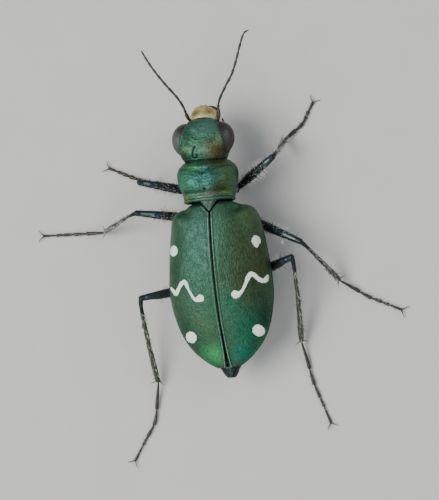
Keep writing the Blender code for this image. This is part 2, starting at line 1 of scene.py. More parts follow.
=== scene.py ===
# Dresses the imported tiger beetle: cuticle, eyes, horn, bristles, light and camera.
# Lengths are millimetres in the beetle's own frame until a mesh is made. The head points
# along -Y, the back along +Z and the beetle's left side along +X.
import math

import bmesh
import bpy
import numpy as np
from mathutils import Matrix, Vector


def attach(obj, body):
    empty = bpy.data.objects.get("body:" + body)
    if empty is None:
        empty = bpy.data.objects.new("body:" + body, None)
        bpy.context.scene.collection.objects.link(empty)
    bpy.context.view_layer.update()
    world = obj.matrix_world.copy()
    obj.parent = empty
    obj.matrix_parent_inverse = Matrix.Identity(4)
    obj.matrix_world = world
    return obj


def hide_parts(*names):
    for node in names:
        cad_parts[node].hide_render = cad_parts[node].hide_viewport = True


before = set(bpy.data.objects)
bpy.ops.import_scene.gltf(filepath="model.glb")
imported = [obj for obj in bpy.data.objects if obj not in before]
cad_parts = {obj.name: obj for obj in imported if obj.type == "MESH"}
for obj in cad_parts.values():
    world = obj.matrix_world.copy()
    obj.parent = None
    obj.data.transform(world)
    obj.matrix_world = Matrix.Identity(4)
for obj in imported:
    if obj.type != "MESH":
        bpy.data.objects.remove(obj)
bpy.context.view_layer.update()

mm = 0.001
origin = np.array([0.68, 0.21, 0.0])      # the frame's own origin, in the beetle's millimetres
up = np.array([0.0, 0.0, 1.0])
sides = {"Left": 1, "Right": -1}


# Small tools for curves and surfaces

def curveAt(stations, places):            # smooth curve through (place, value) stations
    xs = np.array([s[0] for s in stations], float)
    ys = np.array([np.atleast_1d(s[1]) for s in stations], float)
    slope = np.empty_like(ys)
    slope[1:-1] = (ys[2:] - ys[:-2]) / (xs[2:] - xs[:-2])[:, None]
    slope[0] = (ys[1] - ys[0]) / (xs[1] - xs[0])
    slope[-1] = (ys[-1] - ys[-2]) / (xs[-1] - xs[-2])
    places = np.clip(np.asarray(places, float), xs[0], xs[-1])
    low = np.clip(np.searchsorted(xs, places, side="right") - 1, 0, len(xs) - 2)
    span = (xs[low + 1] - xs[low])[..., None]
    t = (places - xs[low])[..., None] / span
    value = (ys[low] * (1 + 2 * t) * (1 - t) ** 2 + ys[low + 1] * t * t * (3 - 2 * t)
             + span * (slope[low] * t * (1 - t) ** 2 - slope[low + 1] * t * t * (1 - t)))
    return value[..., 0] if ys.shape[1] == 1 else value


def reachOf(points):                      # how far along a line each of its points lies
    return np.concatenate([[0.0], np.cumsum(np.linalg.norm(np.diff(points, axis=0), axis=1))])


def pathAt(points, shares):               # places at shares of a smooth path's length
    points = np.array(points, float)
    reach = reachOf(points)
    return curveAt(list(zip(reach, points)), np.asarray(shares) * reach[-1])


def unit(vectors):
    return vectors / np.maximum(np.linalg.norm(vectors, axis=-1, keepdims=True), 1e-12)


def softStep(low, high, values):
    t = np.clip((values - low) / (high - low), 0.0, 1.0)
    return t * t * (3 - 2 * t)


def plateau(values, a, b, c, d):          # rises from a to b and falls again from c to d
    return softStep(a, b, values) * softStep(d, c, values)


def hill(values, middle, reach):          # 1 at the middle, fading out over the reach
    return np.exp(-((values - middle) / reach) ** 2)


def mound(x, y, cx, cy, wide, long=None):     # 1 at its peak, fading out all round it
    return hill(x, cx, wide) * hill(y, cy, long or wide)


def lineAway(x, y, line, widths=None):    # how far places lie from a line, less its half width there
    widths = np.zeros(len(line)) if widths is None else widths
    away = np.full(x.shape, 9.0)
    for a, b, wa, wb in zip(line, line[1:], widths, widths[1:]):
        run = b - a
        t = np.clip(((x - a[0]) * run[0] + (y - a[1]) * run[1]) / (run @ run), 0, 1)
        off = np.hypot(x - a[0] - t * run[0], y - a[1] - t * run[1])
        away = np.minimum(away, off - (wa + (wb - wa) * t))
    return away


def cloud(places, size, seed=0):          # smooth noise from -1 to 1, with lumps of that size
    grid = places / size + seed * 17.3
    base = np.floor(grid)
    part = grid - base
    part = part * part * (3 - 2 * part)
    total = 0.0
    for corner in np.ndindex(2, 2, 2):
        at = base + np.array(corner)
        chance = np.sin(at @ np.array([127.1, 311.7, 74.7]) + seed) * 43758.5453
        share = np.prod(np.where(np.array(corner), part, 1 - part), axis=-1)
        total = total + share * (chance - np.floor(chance))
    return total * 2 - 1


def arch(halfWidth, height, squareness, count, inner=0.0):    # side to ridge over a superellipse
    last = np.arccos(np.clip((inner / halfWidth) ** (squareness / 2), 0.0, 0.999))
    angle = np.outer(last, np.linspace(0, 1, count))
    across = halfWidth[:, None] * np.maximum(np.cos(angle), 0.0) ** (2 / squareness)
    return across, height[:, None] * np.sin(angle) ** (2 / squareness)


def closedRings(y, rim, lower, upper, skip=1):    # rings of a shell, from its arches below and above the rim
    x = np.concatenate([lower[0][:, ::-1], upper[0][:, skip:]], 1)
    z = np.concatenate([(rim[:, None] - lower[1])[:, ::-1], (rim[:, None] + upper[1])[:, skip:]], 1)
    x = np.concatenate([x, -x[:, -2:0:-1]], 1)
    z = np.concatenate([z, z[:, -2:0:-1]], 1)
    return np.stack([x, np.broadcast_to(y[:, None], x.shape), z], -1)


def gridNormals(grid, around=False):
    alongIt = np.gradient(grid, axis=0)
    if around:
        across = (np.roll(grid, -1, axis=1) - np.roll(grid, 1, axis=1)) / 2
    else:
        across = np.gradient(grid, axis=1)
    normals = unit(np.cross(alongIt, across))
    outward = grid - grid.mean(axis=1, keepdims=True)
    return normals if np.sum(normals * outward) > 0 else -normals


def gridFaces(n, m, around=False):
    i, j = np.meshgrid(np.arange(n - 1), np.arange(m if around else m - 1), indexing="ij")
    a, b = i * m + j, i * m + (j + 1) % m
    return np.stack([a, b, b + m, a + m], -1).reshape(-1, 4).tolist()


# A pot collects places, faces and marks, which are numbers kept for each place

def newPot():
    return {"places": [], "faces": [], "marks": [], "patches": []}


def pour(pot, places, faces, **marks):
    start = sum(len(some) for some in pot["places"])
    pot["places"].append(places)
    pot["faces"] += [[start + k for k in face] for face in faces] if start else faces
    pot["marks"].append(marks)


def pourTube(pot, rows, **marks):         # rings closed round, with both ends filled
    n, m = rows.shape[:2]
    places = np.concatenate([rows.reshape(-1, 3), rows[0].mean(0)[None], rows[-1].mean(0)[None]])
    faces = gridFaces(n, m, True)
    for row, centre in ((0, n * m), (n - 1, n * m + 1)):
        faces += [[row * m + j, row * m + (j + 1) % m, centre] for j in range(m)]
    full = {}
    for key, values in marks.items():
        values = np.broadcast_to(np.asarray(values, float).reshape(n, -1), (n, m))
        full[key] = np.concatenate([values.ravel(), [values[0].mean(), values[-1].mean()]])
    pour(pot, places, faces, **full)


def pourSheet(pot, outer, thick, lips=3, **marks):   # a thick plate with rounded edges
    n, m = outer.shape[:2]
    normals = gridNormals(outer)
    inner = outer - normals * thick
    ring = ([(0, j) for j in range(m)] + [(i, m - 1) for i in range(1, n)]
            + [(n - 1, j) for j in range(m - 2, -1, -1)] + [(i, 0) for i in range(n - 2, 0, -1)])
    rows, columns = np.array(ring).T
    edge, face = outer[rows, columns], normals[rows, columns]
    inside = outer[np.clip(rows, 1, n - 2), np.clip(columns, 1, m - 2)]
    outward = edge - inside
    outward = unit(outward - face * np.sum(outward * face, axis=1, keepdims=True))
    places, faces = [outer.reshape(-1, 3), inner.reshape(-1, 3)], gridFaces(n, m)
    faces += [[k + n * m for k in f[::-1]] for f in gridFaces(n, m)]
    loops = [rows * m + columns]
    for k in range(1, lips + 1):
        angle = math.pi * k / (lips + 1)
        places.append(edge - face * thick / 2 + face * thick / 2 * math.cos(angle)
                      + outward * thick / 2 * math.sin(angle))
        loops.append(2 * n * m + (k - 1) * len(ring) + np.arange(len(ring)))
    loops.append(n * m + rows * m + columns)
    for a, b in zip(loops, loops[1:]):
        faces += np.stack([a, np.roll(a, -1), np.roll(b, -1), b], -1).tolist()
    full = {}
    for key, values in marks.items():
        values = np.broadcast_to(values, (n, m))
        full[key] = np.concatenate([values.ravel(), values.ravel()] + [values[rows, columns]] * lips)
    pour(pot, np.concatenate(places), faces, **full)


def limb(path, radii, count, flat=1.0):   # rings of a limb along its path, turned as little as can be
    ahead = unit(np.gradient(path, axis=0))
    side = np.cross(ahead[0], up)
    if np.linalg.norm(side) < 0.2:
        side = np.cross(ahead[0], [0.0, 1.0, 0.0])
    across = []
    for direction in ahead:
        side = unit(side - direction * np.dot(side, direction))
        across.append(side)
    rise = np.cross(across, ahead)
    angle = 2 * math.pi * np.arange(count) / count
    radii = np.broadcast_to(np.asarray(radii, float).reshape(len(path), -1), (len(path), count))
    return (path[:, None] + np.array(across)[:, None] * (radii * np.cos(angle))[..., None]
            + rise[:, None] * (radii * flat * np.sin(angle))[..., None])


def ball(centre, radii, rows, count):
    lat = np.linspace(-math.pi / 2 + 0.02, math.pi / 2 - 0.02, rows)[:, None]
    lon = 2 * math.pi * np.arange(count) / count
    shape = [np.cos(lat) * np.cos(lon), np.sin(lat) * np.ones(count), np.cos(lat) * np.sin(lon)]
    return np.stack(shape, -1) * np.array(radii) + centre


def makePiece(name, pot, finish, nodes=(), sharp=60):
    mesh = bpy.data.meshes.new(name)
    mesh.from_pydata(((np.concatenate(pot["places"]) - origin) * mm).tolist(), [], pot["faces"])
    for key in sorted(set().union(*pot["marks"])):        # what was poured without a mark gets 0
        values = [np.broadcast_to(marks.get(key, 0.0), len(some))
                  for marks, some in zip(pot["marks"], pot["places"])]
        mark = mesh.attributes.new(key, "FLOAT", "POINT")
        mark.data.foreach_set("value", np.concatenate(values).astype(np.float32))
    if pot["patches"]:                    # a bristle's whole mesh lies at its root on the skin's unwrap
        patches = np.concatenate(pot["patches"]).astype(np.float32)
        corners = np.zeros(len(mesh.loops), np.int32)
        mesh.loops.foreach_get("vertex_index", corners)
        mesh.uv_layers.new(name="OFBake").data.foreach_set("uv", patches[corners].ravel())
    bm = bmesh.new()
    bm.from_mesh(mesh)
    bmesh.ops.recalc_face_normals(bm, faces=bm.faces[:])
    bm.to_mesh(mesh)
    bm.free()
    mesh.materials.append(finish)
    mesh.shade_smooth()
    mesh.set_sharp_from_angle(angle=math.radians(sharp))
    piece = bpy.data.objects.new(name, mesh)
    bpy.context.scene.collection.objects.link(piece)
    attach(piece, "root")
    if nodes:
        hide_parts(*nodes)


def tubePiece(name, rows, finish, slot, node, **marks):
    pot = newPot()
    pourTube(pot, rows, **marks)
    makePiece(name, pot, finish, [node])


def shellPiece(name, skin, marks, front, rear, finish, slot, node):
    def rolled(ring, steps):              # both ends roll in, so that they end inside the shell
        centre = ring.mean(0)
        return [centre + (ring - centre) * share + [0, slide, 0] for share, slide in steps]
    skin = np.concatenate([rolled(skin[0], front)[::-1], skin, rolled(skin[-1], rear)])
    more = ((len(front), len(rear)), (0, 0))
    marks = {key: np.pad(values, more, "edge") for key, values in marks.items()}
    tubePiece(name, skin, finish, slot, node, **marks)


# Small tools for finishes

def feed(tree, socket, value):
    if isinstance(value, bpy.types.NodeSocket):
        tree.links.new(value, socket)
    elif hasattr(value, "__len__") and len(value) == 3 and socket.type == "RGBA":
        socket.default_value = (*value, 1.0)
    else:
        socket.default_value = value


def addNode(tree, kind, inputs=(), **settings):       # its inputs in their order, or by name or number
    made = tree.nodes.new("ShaderNode" + kind)
    for key, value in settings.items():
        setattr(made, key, value)
    for key, value in inputs.items() if isinstance(inputs, dict) else enumerate(inputs):
        feed(tree, made.inputs[key], value)
    return made


def sums(tree, operation, a, b):
    return addNode(tree, "Math", (a, b), operation=operation).outputs[0]


def vectors(tree, operation, inputs):
    return addNode(tree, "VectorMath", inputs, operation=operation).outputs


def tint(tree, share, a, b):              # colour a, going over to b
    return addNode(tree, "Mix", {0: share, 6: a, 7: b}, data_type="RGBA").outputs[2]


def between(tree, value, low, high, toLow=0.0, toHigh=1.0):
    numbers = (value, low, high, toLow, toHigh)
    return addNode(tree, "MapRange", numbers, interpolation_type="SMOOTHSTEP").outputs[0]


def bodyPlace(tree, turn=0.0, stretch=(1, 1, 1)):     # the beetle's millimetres, turned and stretched
    at = addNode(tree, "TexCoord").outputs["Object"]
    at = vectors(tree, "ADD", (vectors(tree, "SCALE", {0: at, "Scale": 1 / mm})[0], origin))[0]
    if not turn and stretch == (1, 1, 1):
        return at
    inputs = {"Vector": at, "Rotation": (0.0, 0.0, math.radians(turn)), "Scale": stretch}
    return addNode(tree, "Mapping", inputs, vector_type="POINT").outputs[0]


def grain(tree, place, size, detail=3.0, rough=0.55):
    inputs = {"Vector": place, "Scale": 1 / size, "Detail": detail, "Roughness": rough}
    return addNode(tree, "TexNoise", inputs).outputs["Fac"]


def patch(tree, place, centre, reach):    # 1 in the middle of an oval patch, 0 outside it
    oval = vectors(tree, "DIVIDE", (vectors(tree, "SUBTRACT", (place, centre))[0], reach))[0]
    return between(tree, vectors(tree, "LENGTH", (oval,))["Value"], 1.0, 0.0)


plainLook = {                             # what a look says where it says nothing else
    "wander": 0.8, "patches": (), "marks": (), "plain": (), "ragged": 0.05, "lie": 0.0, "stretch": (1, 1, 1),
    "streak": 0.12, "streakLight": 0.3, "streakDark": 0.35, "streakHeight": 1.0, "metal": 0.0, "shine": 0.5,
    "coat": 0.0, "coatRough": 0.2, "bead": 0.06, "beadHeight": 0.5, "relief": 0.008,
}


def cuticle(name, look):                  # horny skin: two ground tints, patches, marks, gloss and relief
    look = {**plainLook, **look}
    material = bpy.data.materials.new(name)
    material.use_nodes = True
    tree = material.node_tree
    place = bodyPlace(tree)
    wobble = grain(tree, place, look["wander"], 2.0)
    colour = tint(tree, between(tree, wobble, 0.35, 0.65), look["ground"], look["second"])
    edge = between(tree, grain(tree, place, 0.5), 0.1, 0.6, 0.6, 1.0)
    for centre, reach, shade, strength in look["patches"]:
        share = sums(tree, "MULTIPLY", patch(tree, place, centre, reach), strength)
        colour = tint(tree, sums(tree, "MULTIPLY", share, edge), colour, shade)
    streaks = grain(tree, bodyPlace(tree, look["lie"], look["stretch"]), look["streak"], 3.0, 0.6)
    colour = tint(tree, between(tree, streaks, 0.42, 0.72, 0.0, look["streakLight"]), colour, look["light"])
    colour = tint(tree, between(tree, streaks, 0.48, 0.3, 0.0, look["streakDark"]), colour, look["dark"])
    metal = look["metal"]
    ragged = sums(tree, "SUBTRACT", grain(tree, place, 0.12, 2.0), 0.5)
    ragged = sums(tree, "MULTIPLY", ragged, look["ragged"])
    for key, shade, low, high in look["marks"]:
        mark = addNode(tree, "Attribute", attribute_name=key).outputs["Fac"]
        share = between(tree, sums(tree, "ADD", mark, ragged), low, high)
        colour = tint(tree, share, colour, shade)
        if key in look["plain"]:          # marks without any metal in them
            metal = sums(tree, "SUBTRACT", metal, sums(tree, "MULTIPLY", share, look["metal"]))
    gloss = grain(tree, place, 0.3, 4.0)
    cells = addNode(tree, "TexVoronoi", {"Vector": place, "Scale": 1 / look["bead"]}).outputs["Distance"]
    beads = between(tree, cells, 0.0, 0.75, 1.0, 0.0)     # shagreen: close-set beads over fine grain
    relief = sums(tree, "ADD", sums(tree, "MULTIPLY", beads, look["beadHeight"]),
                  sums(tree, "MULTIPLY", streaks, look["streakHeight"]))
    bump = addNode(tree, "Bump", {"Distance": look["relief"] * mm, "Height": relief}).outputs[0]
    inputs = {
        "Base Color": colour, "Metallic": metal, "Normal": bump, "Specular IOR Level": look["shine"],
        "Roughness": between(tree, gloss, 0.3, 0.7, look["rough"] - 0.07, look["rough"] + 0.08),
        "Coat Weight": look["coat"], "Coat Roughness": look["coatRough"],
    }
    for key, value in inputs.items():
        feed(tree, tree.nodes["Principled BSDF"].inputs[key], value)
    return material


print("stage: tools ready")


# The line of the body

bodyLine = {"x": -0.04, "drift": 0.018}    # drifts to the left by this much for each millimetre back


def middleOf(y):
    return bodyLine["x"] + bodyLine["drift"] * y


# Wing cases

wingCase = {
    "halfWidth": [(-2.34, 0.95), (-2.26, 1.28), (-2.12, 1.62), (-1.95, 1.92), (-1.75, 2.13), (-1.3, 2.33),
                  (0.4, 2.58), (2.0, 2.7), (3.2, 2.57), (4.3, 2.22), (5.1, 1.7), (5.7, 1.04), (6.0, 0.55)],
    "ridge": [(-2.34, 4.06), (-2.16, 4.16), (-1.2, 4.32), (0.2, 4.35), (2.0, 4.15), (3.6, 3.72), (4.8, 3.17),
              (6.0, 2.55)],
    "edge": [(-2.34, 3.62), (-2.16, 3.38), (-1.5, 3.0), (0.0, 2.85), (2.0, 2.72), (4.0, 2.5), (6.0, 2.3)],
    "squareness": 2.35, "front": -2.34, "rear": 5.98,
    "seam": 0.048, "parting": 4.3, "tipGap": 0.08, "plateApex": -1.86, "plateSlope": 0.86,
    "thick": 0.11, "rows": 300, "columns": 100, "foldColumns": 8, "fold": 0.22,
    "bead": 0.032, "beadAt": 0.05, "rim": 0.022, "rimAt": 0.03,
    "shoulder": (1.84, -1.68, 0.34, 0.1), "hollow": (1.34, -1.98, 0.24, -0.17),
    "pits": 120, "pitSize": 0.032, "pitDepth": 0.016,
}
ivoryMarks = {
    "Left": {
        "spots": [(2.12, -0.1, 0.26, 0.27), (1.68, 4.33, 0.32, 0.29)],
        "band": [(2.46, 1.76), (2.18, 2.05), (1.95, 1.8), (1.76, 1.57), (1.57, 1.56), (1.38, 2.04),
                 (1.1, 2.49), (0.82, 2.43)],
        "bandWidth": [0.07, 0.12, 0.09, 0.11, 0.1, 0.06, 0.08, 0.17],
    },
    "Right": {
        "spots": [(2.19, -0.2, 0.18, 0.25), (2.2, -0.03, 0.1, 0.2), (1.84, 4.3, 0.27, 0.29)],
        "band": [(2.56, 1.6), (2.44, 1.84), (2.22, 1.78), (1.94, 1.48), (1.78, 1.52), (1.5, 2.04),
                 (1.24, 2.38), (1.0, 2.42)],
        "bandWidth": [0.05, 0.11, 0.09, 0.11, 0.12, 0.065, 0.09, 0.2],
    },
}


def ivoryDistance(look, x, y):            # how far a place lies outside the ivory marks, in millimetres
    shares = np.linspace(0, 1, 40)
    reach = reachOf(np.array(look["band"]))
    widths = curveAt(list(zip(reach, look["bandWidth"])), shares * reach[-1])
    away = lineAway(x, y, pathAt(look["band"], shares), widths)
    for cx, cy, rx, ry in look["spots"]:
        away = np.minimum(away, (np.hypot((x - cx) / rx, (y - cy) / ry) - 1) * min(rx, ry))
    return away


def wingCaseSurface(word):                # outer skin of one case, with its marks
    look, side = wingCase, sides[word]
    share = np.linspace(0, 1, look["rows"])
    share = 0.35 * (0.5 - 0.5 * np.cos(math.pi * share)) + 0.65 * share      # closer rows at both ends
    y = look["front"] + (look["rear"] - look["front"]) * share
    halfWidth, edge = curveAt(look["halfWidth"], y), curveAt(look["edge"], y)
    opening = np.maximum(0.0, (y - look["parting"]) / (look["rear"] - look["parting"]))
    inner = np.maximum(look["seam"], (look["plateApex"] - y) * look["plateSlope"] + look["seam"] * 1.6)
    inner = inner + look["tipGap"] * opening ** 2
    halfWidth = np.maximum(halfWidth, inner + 0.08)
    x, z = arch(halfWidth, curveAt(look["ridge"], y) - edge, look["squareness"], look["columns"], inner)
    grid = np.stack([x, np.broadcast_to(y[:, None], x.shape), edge[:, None] + z], -1)
    q = np.linspace(1, 0, look["foldColumns"] + 1)[:-1]      # the infolded margin below the side edge
    fold = look["fold"] * np.minimum(1, (look["rear"] - y) / 2.5 + 0.15) * np.minimum(1, halfWidth / 1.6)
    turned = grid[:, :1] - np.stack([np.outer(fold, q ** 1.4), np.zeros((len(y), len(q))),
                                     np.outer(np.minimum(fold, 0.16), np.sin(q * math.pi / 2))], -1)
    grid = np.concatenate([turned, grid], axis=1)
    steps = np.linalg.norm(np.diff(grid, axis=1), axis=2)
    run = np.concatenate([np.zeros((len(y), 1)), np.cumsum(steps, axis=1)], axis=1)
    fromSide, fromInner = run - run[:, look["foldColumns"]][:, None], run[:, -1:] - run
    normals = gridNormals(grid)
    gx, gy = grid[..., 0], grid[..., 1]
    beadFade = softStep(-2.1, -1.7, gy)
    lift = look["bead"] * hill(fromInner, look["beadAt"], 0.035) * beadFade
    lift -= 0.4 * look["bead"] * hill(fromInner, look["beadAt"] + 0.1, 0.04)
    lift += look["rim"] * (hill(fromSide, look["rimAt"], 0.03) - hill(fromSide, 0.12, 0.045))
    for cx, cy, reach, rise in (look["shoulder"], look["hollow"]):
        lift += rise * mound(gx, gy, cx, cy, reach)
    lift += 0.01 * cloud(grid * [1, 1, side], 0.9, 3) + 0.004 * cloud(grid, 0.22, 5 + side)
    lift += 0.0022 * cloud(grid, 0.07, 8)
    dice = np.random.default_rng(40 + side)
    pits = np.zeros(gx.shape)
    for _ in range(look["pits"]):
        py = dice.uniform(-1.9, 5.3)
        px = dice.uniform(0.25, 0.93) * curveAt(look["halfWidth"], py)
        size = look["pitSize"] * dice.uniform(0.6, 1.25)
        near = (np.abs(gx - px) < 0.15) & (np.abs(gy - py) < 0.15)
        pits[near] += mound(gx[near], gy[near], px, py, size) * dice.uniform(0.5, 1)
    pits = np.minimum(pits, 1)
    grid = grid + normals * (lift - look["pitDepth"] * pits)[..., None]
    grid[..., 0] = middleOf(gy) + side * grid[..., 0]
    # painted highlight: margin lightens the crest of the seam bead and the side rim
    margin = np.maximum(hill(fromInner, look["beadAt"] - 0.01, 0.035) * beadFade,
                        0.75 * hill(fromSide, look["rimAt"], 0.025))
    return grid, {"ivory": ivoryDistance(ivoryMarks[word], gx, gy), "margin": margin, "pit": pits}


caseLook = {
    "ground": (0.034, 0.096, 0.055), "second": (0.044, 0.1, 0.058), "wander": 1.2,
    "patches": [
        ((0.5, -0.6, 4.3), (1.7, 2.4, 1.6), (0.032, 0.088, 0.08), 0.85),     # bluish by the seam in front, a painted reflection of the sky
        ((0.9, 1.4, 4.1), (1.4, 2.6, 1.7), (0.024, 0.074, 0.052), 0.9),
        ((2.3, -0.9, 3.4), (1.0, 2.1, 1.4), (0.11, 0.235, 0.14), 0.9),      # lighter green down the left side: painted light, where the light falls
        ((2.3, 2.2, 3.1), (0.9, 2.2, 1.2), (0.085, 0.17, 0.075), 0.85),
        ((1.0, 3.9, 3.6), (1.3, 1.5, 1.4), (0.065, 0.14, 0.07), 0.8),
        ((0.75, 5.3, 2.95), (1.1, 1.0, 1.1), (0.05, 0.34, 0.11), 1.0),       # bright tip
        # darker greens over the right side: partly its olive tone, partly painted shade away from the light
        ((-1.2, -1.0, 4.1), (1.2, 2.2, 1.6), (0.031, 0.076, 0.036), 0.9),
        ((-1.9, 0.9, 3.6), (1.9, 3.2, 2.2), (0.054, 0.058, 0.018), 1.0),       # olive on the right side, with painted shade
        ((-1.2, 1.6, 4.0), (0.8, 1.5, 1.2), (0.04, 0.055, 0.025), 0.85),
        ((-0.5, 0.9, 4.2), (0.9, 2.4, 1.5), (0.024, 0.054, 0.032), 0.9),
        ((-1.95, -1.45, 3.8), (0.8, 0.9, 1.1), (0.08, 0.12, 0.045), 0.85),   # lighter hump of the shoulder
        ((-1.4, 4.3, 3.3), (1.5, 1.7, 1.7), (0.004, 0.118, 0.062), 1.0),      # emerald at the right rear
        ((-0.7, 3.0, 3.9), (0.6, 1.0, 1.2), (0.012, 0.11, 0.062), 0.8),
        ((-0.9, 5.4, 2.9), (1.1, 0.9, 1.2), (0.004, 0.15, 0.1), 1.0),
        ((-2.3, 3.6, 2.9), (0.7, 1.5, 1.0), (0.005, 0.043, 0.016), 0.95),
    ],
    "lie": 38.0, "stretch": (1.0, 0.34, 1.0), "streak": 0.075, "light": (0.08, 0.165, 0.11),
    "dark": (0.016, 0.05, 0.034), "streakLight": 0.4, "streakDark": 0.55,
    # pit darkens the pits as painted shade; margin lightens the seam bead and side rim as painted highlight
    "marks": [("pit", (0.012, 0.035, 0.03), 0.25, 0.9), ("margin", (0.2, 0.33, 0.26), 0.35, 1.0),
              ("ivory", (0.9, 0.98, 0.87), 0.02, -0.02)],
    "plain": ("ivory",), "ragged": 0.11, "metal": 0.82, "rough": 0.43, "shine": 0.22, "bead": 0.05,
    "beadHeight": 0.5, "relief": 0.012,
}
caseFinish = cuticle("wingCaseGreen", caseLook)
for word in sides:
    skin, marks = wingCaseSurface(word)
    pot = newPot()
    pourSheet(pot, skin, wingCase["thick"], **marks)
    makePiece("wingCase" + word, pot, caseFinish, ["elytron_" + word.lower()])
print("stage: wing cases")


# Armour of the front body

armourLook = {
    "ground": (0.03, 0.1, 0.062), "second": (0.04, 0.12, 0.08), "wander": 0.5,
    "patches": [
        ((-1.15, -3.6, 4.1), (0.95, 1.3, 1.2), (0.074, 0.132, 0.042), 1.0),   # olive on the shield's right
        ((0.15, -3.62, 4.5), (1.25, 0.85, 1.4), (0.032, 0.125, 0.128), 1.0),   # blue over its disc
        ((1.05, -3.4, 4.2), (0.75, 0.9, 1.2), (0.06, 0.29, 0.17), 1.0),      # bright on its left
        ((0.55, -4.12, 4.3), (0.9, 0.36, 0.8), (0.07, 0.24, 0.1), 0.9),
        ((-0.1, -2.72, 4.3), (1.1, 0.42, 0.8), (0.13, 0.165, 0.12), 0.95),  # grey-green band behind
        ((-0.66, -2.98, 4.3), (0.65, 0.45, 0.7), (0.075, 0.052, 0.016), 1.0),
        ((-1.02, -2.86, 4.0), (0.42, 0.4, 0.7), (0.12, 0.2, 0.045), 1.0),   # yellow-green boss
        ((1.05, -2.75, 4.0), (0.6, 0.45, 0.7), (0.14, 0.22, 0.08), 0.9),
        ((-0.75, -4.95, 4.1), (1.1, 1.0, 1.4), (0.115, 0.066, 0.014), 1.0),   # coppery behind the right eye
        ((-1.15, -4.8, 3.9), (0.5, 0.8, 1.0), (0.02, 0.012, 0.006), 1.0),
        ((-0.65, -4.38, 4.2), (0.9, 0.45, 0.8), (0.06, 0.045, 0.012), 1.0),
        ((1.0, -4.75, 3.9), (0.45, 0.6, 1.0), (0.026, 0.032, 0.008), 1.0),   # dark left temple
        ((1.02, -5.15, 4.0), (0.3, 0.3, 0.7), (0.17, 0.24, 0.08), 0.95),
        ((-0.9, -5.45, 4.05), (0.24, 0.5, 0.6), (0.15, 0.24, 0.12), 0.9),
        ((-0.2, -6.1, 3.8), (1.3, 0.75, 1.2), (0.125, 0.27, 0.21), 0.9),    # blue-green front of the head
        ((0.35, -6.05, 4.1), (0.6, 0.36, 0.7), (0.085, 0.22, 0.16), 0.85),
        ((0.7, -5.5, 4.2), (0.7, 0.8, 0.9), (0.04, 0.105, 0.05), 0.9),
        ((0.15, -5.0, 4.3), (0.8, 0.6, 0.8), (0.06, 0.115, 0.08), 0.85),
    ],
    "stretch": (1.0, 1.5, 1.0), "streak": 0.1, "light": (0.09, 0.22, 0.15),
    "dark": (0.008, 0.03, 0.022), "streakLight": 0.45, "streakDark": 0.75,
    # groove darkens grooves and pits as painted shade; margin lightens beads and crests as painted highlight
    "marks": [("groove", (0.005, 0.016, 0.012), 0.2, 0.9), ("margin", (0.17, 0.25, 0.15), 0.3, 1.0)],
    "metal": 0.8, "rough": 0.45, "shine": 0.24, "bead": 0.05, "beadHeight": 0.22, "relief": 0.014,
}
armourFinish = cuticle("armourGreen", armourLook)
plateLook = {**armourLook, "ground": (0.03, 0.052, 0.042), "second": (0.05, 0.075, 0.065), "patches": []}
plateFinish = cuticle("plateGrey", plateLook)

plate = {"front": -2.42, "apex": -1.9, "halfWidth": 0.44, "top": 4.2, "crown": 0.05, "thick": 0.1}


def scutellumPlate():                     # three-cornered plate between the roots of the wing cases
    look = plate
    share = np.linspace(0, 1, 26)
    y = look["front"] + (look["apex"] - look["front"]) * share
    halfWidth = look["halfWidth"] * (1 - share) ** 0.9 + 0.015
    across = np.linspace(-1, 1, 25)
    x = middleOf(look["apex"]) + np.outer(halfWidth, across)
    z = look["top"] + look["crown"] * (1 - np.abs(across) ** 2.5) * (1 - share[:, None]) ** 0.4
    grid = np.stack([x, np.broadcast_to(y[:, None], x.shape), z], -1)
    grid[..., 2] += 0.006 * cloud(grid, 0.09, 2)
    pot = newPot()
    pourSheet(pot, grid, look["thick"], groove=np.broadcast_to(0.35 + 0.4 * np.abs(across) ** 4, x.shape))
    makePiece("scutellumPlate", pot, plateFinish, ["scutellum"])


scutellumPlate()

shield = {
    "x": 0.09, "front": -4.46, "rear": -2.46, "squareness": 2.35, "rim": 0.46,
    "halfWidth": [(-4.46, 1.17), (-4.36, 1.31), (-4.22, 1.46), (-3.95, 1.56), (-3.6, 1.55), (-3.25, 1.47),
                  (-2.95, 1.36), (-2.75, 1.31), (-2.46, 1.3)],
    "top": [(-4.46, 4.16), (-4.36, 4.26), (-4.2, 4.36), (-4.05, 4.39), (-3.8, 4.47), (-3.4, 4.52),
            (-3.05, 4.48), (-2.82, 4.36), (-2.62, 4.36), (-2.46, 4.3)],
    "bottom": [(-4.46, 2.5), (-4.36, 2.35), (-3.8, 2.1), (-3.1, 2.05), (-2.46, 2.3)],
    "rows": 170, "above": 90, "below": 34, "midline": 0.012, "frontGroove": 0.018, "rearGroove": 0.03,
    "wrinkle": 0.017, "pit": (-0.08, -3.02, 0.07, 0.06), "pitDepth": 0.035, "bead": -2.52, "gutter": -2.58,
    "boss": (1.08, -2.84, 0.2), "bossRise": 0.065,
}


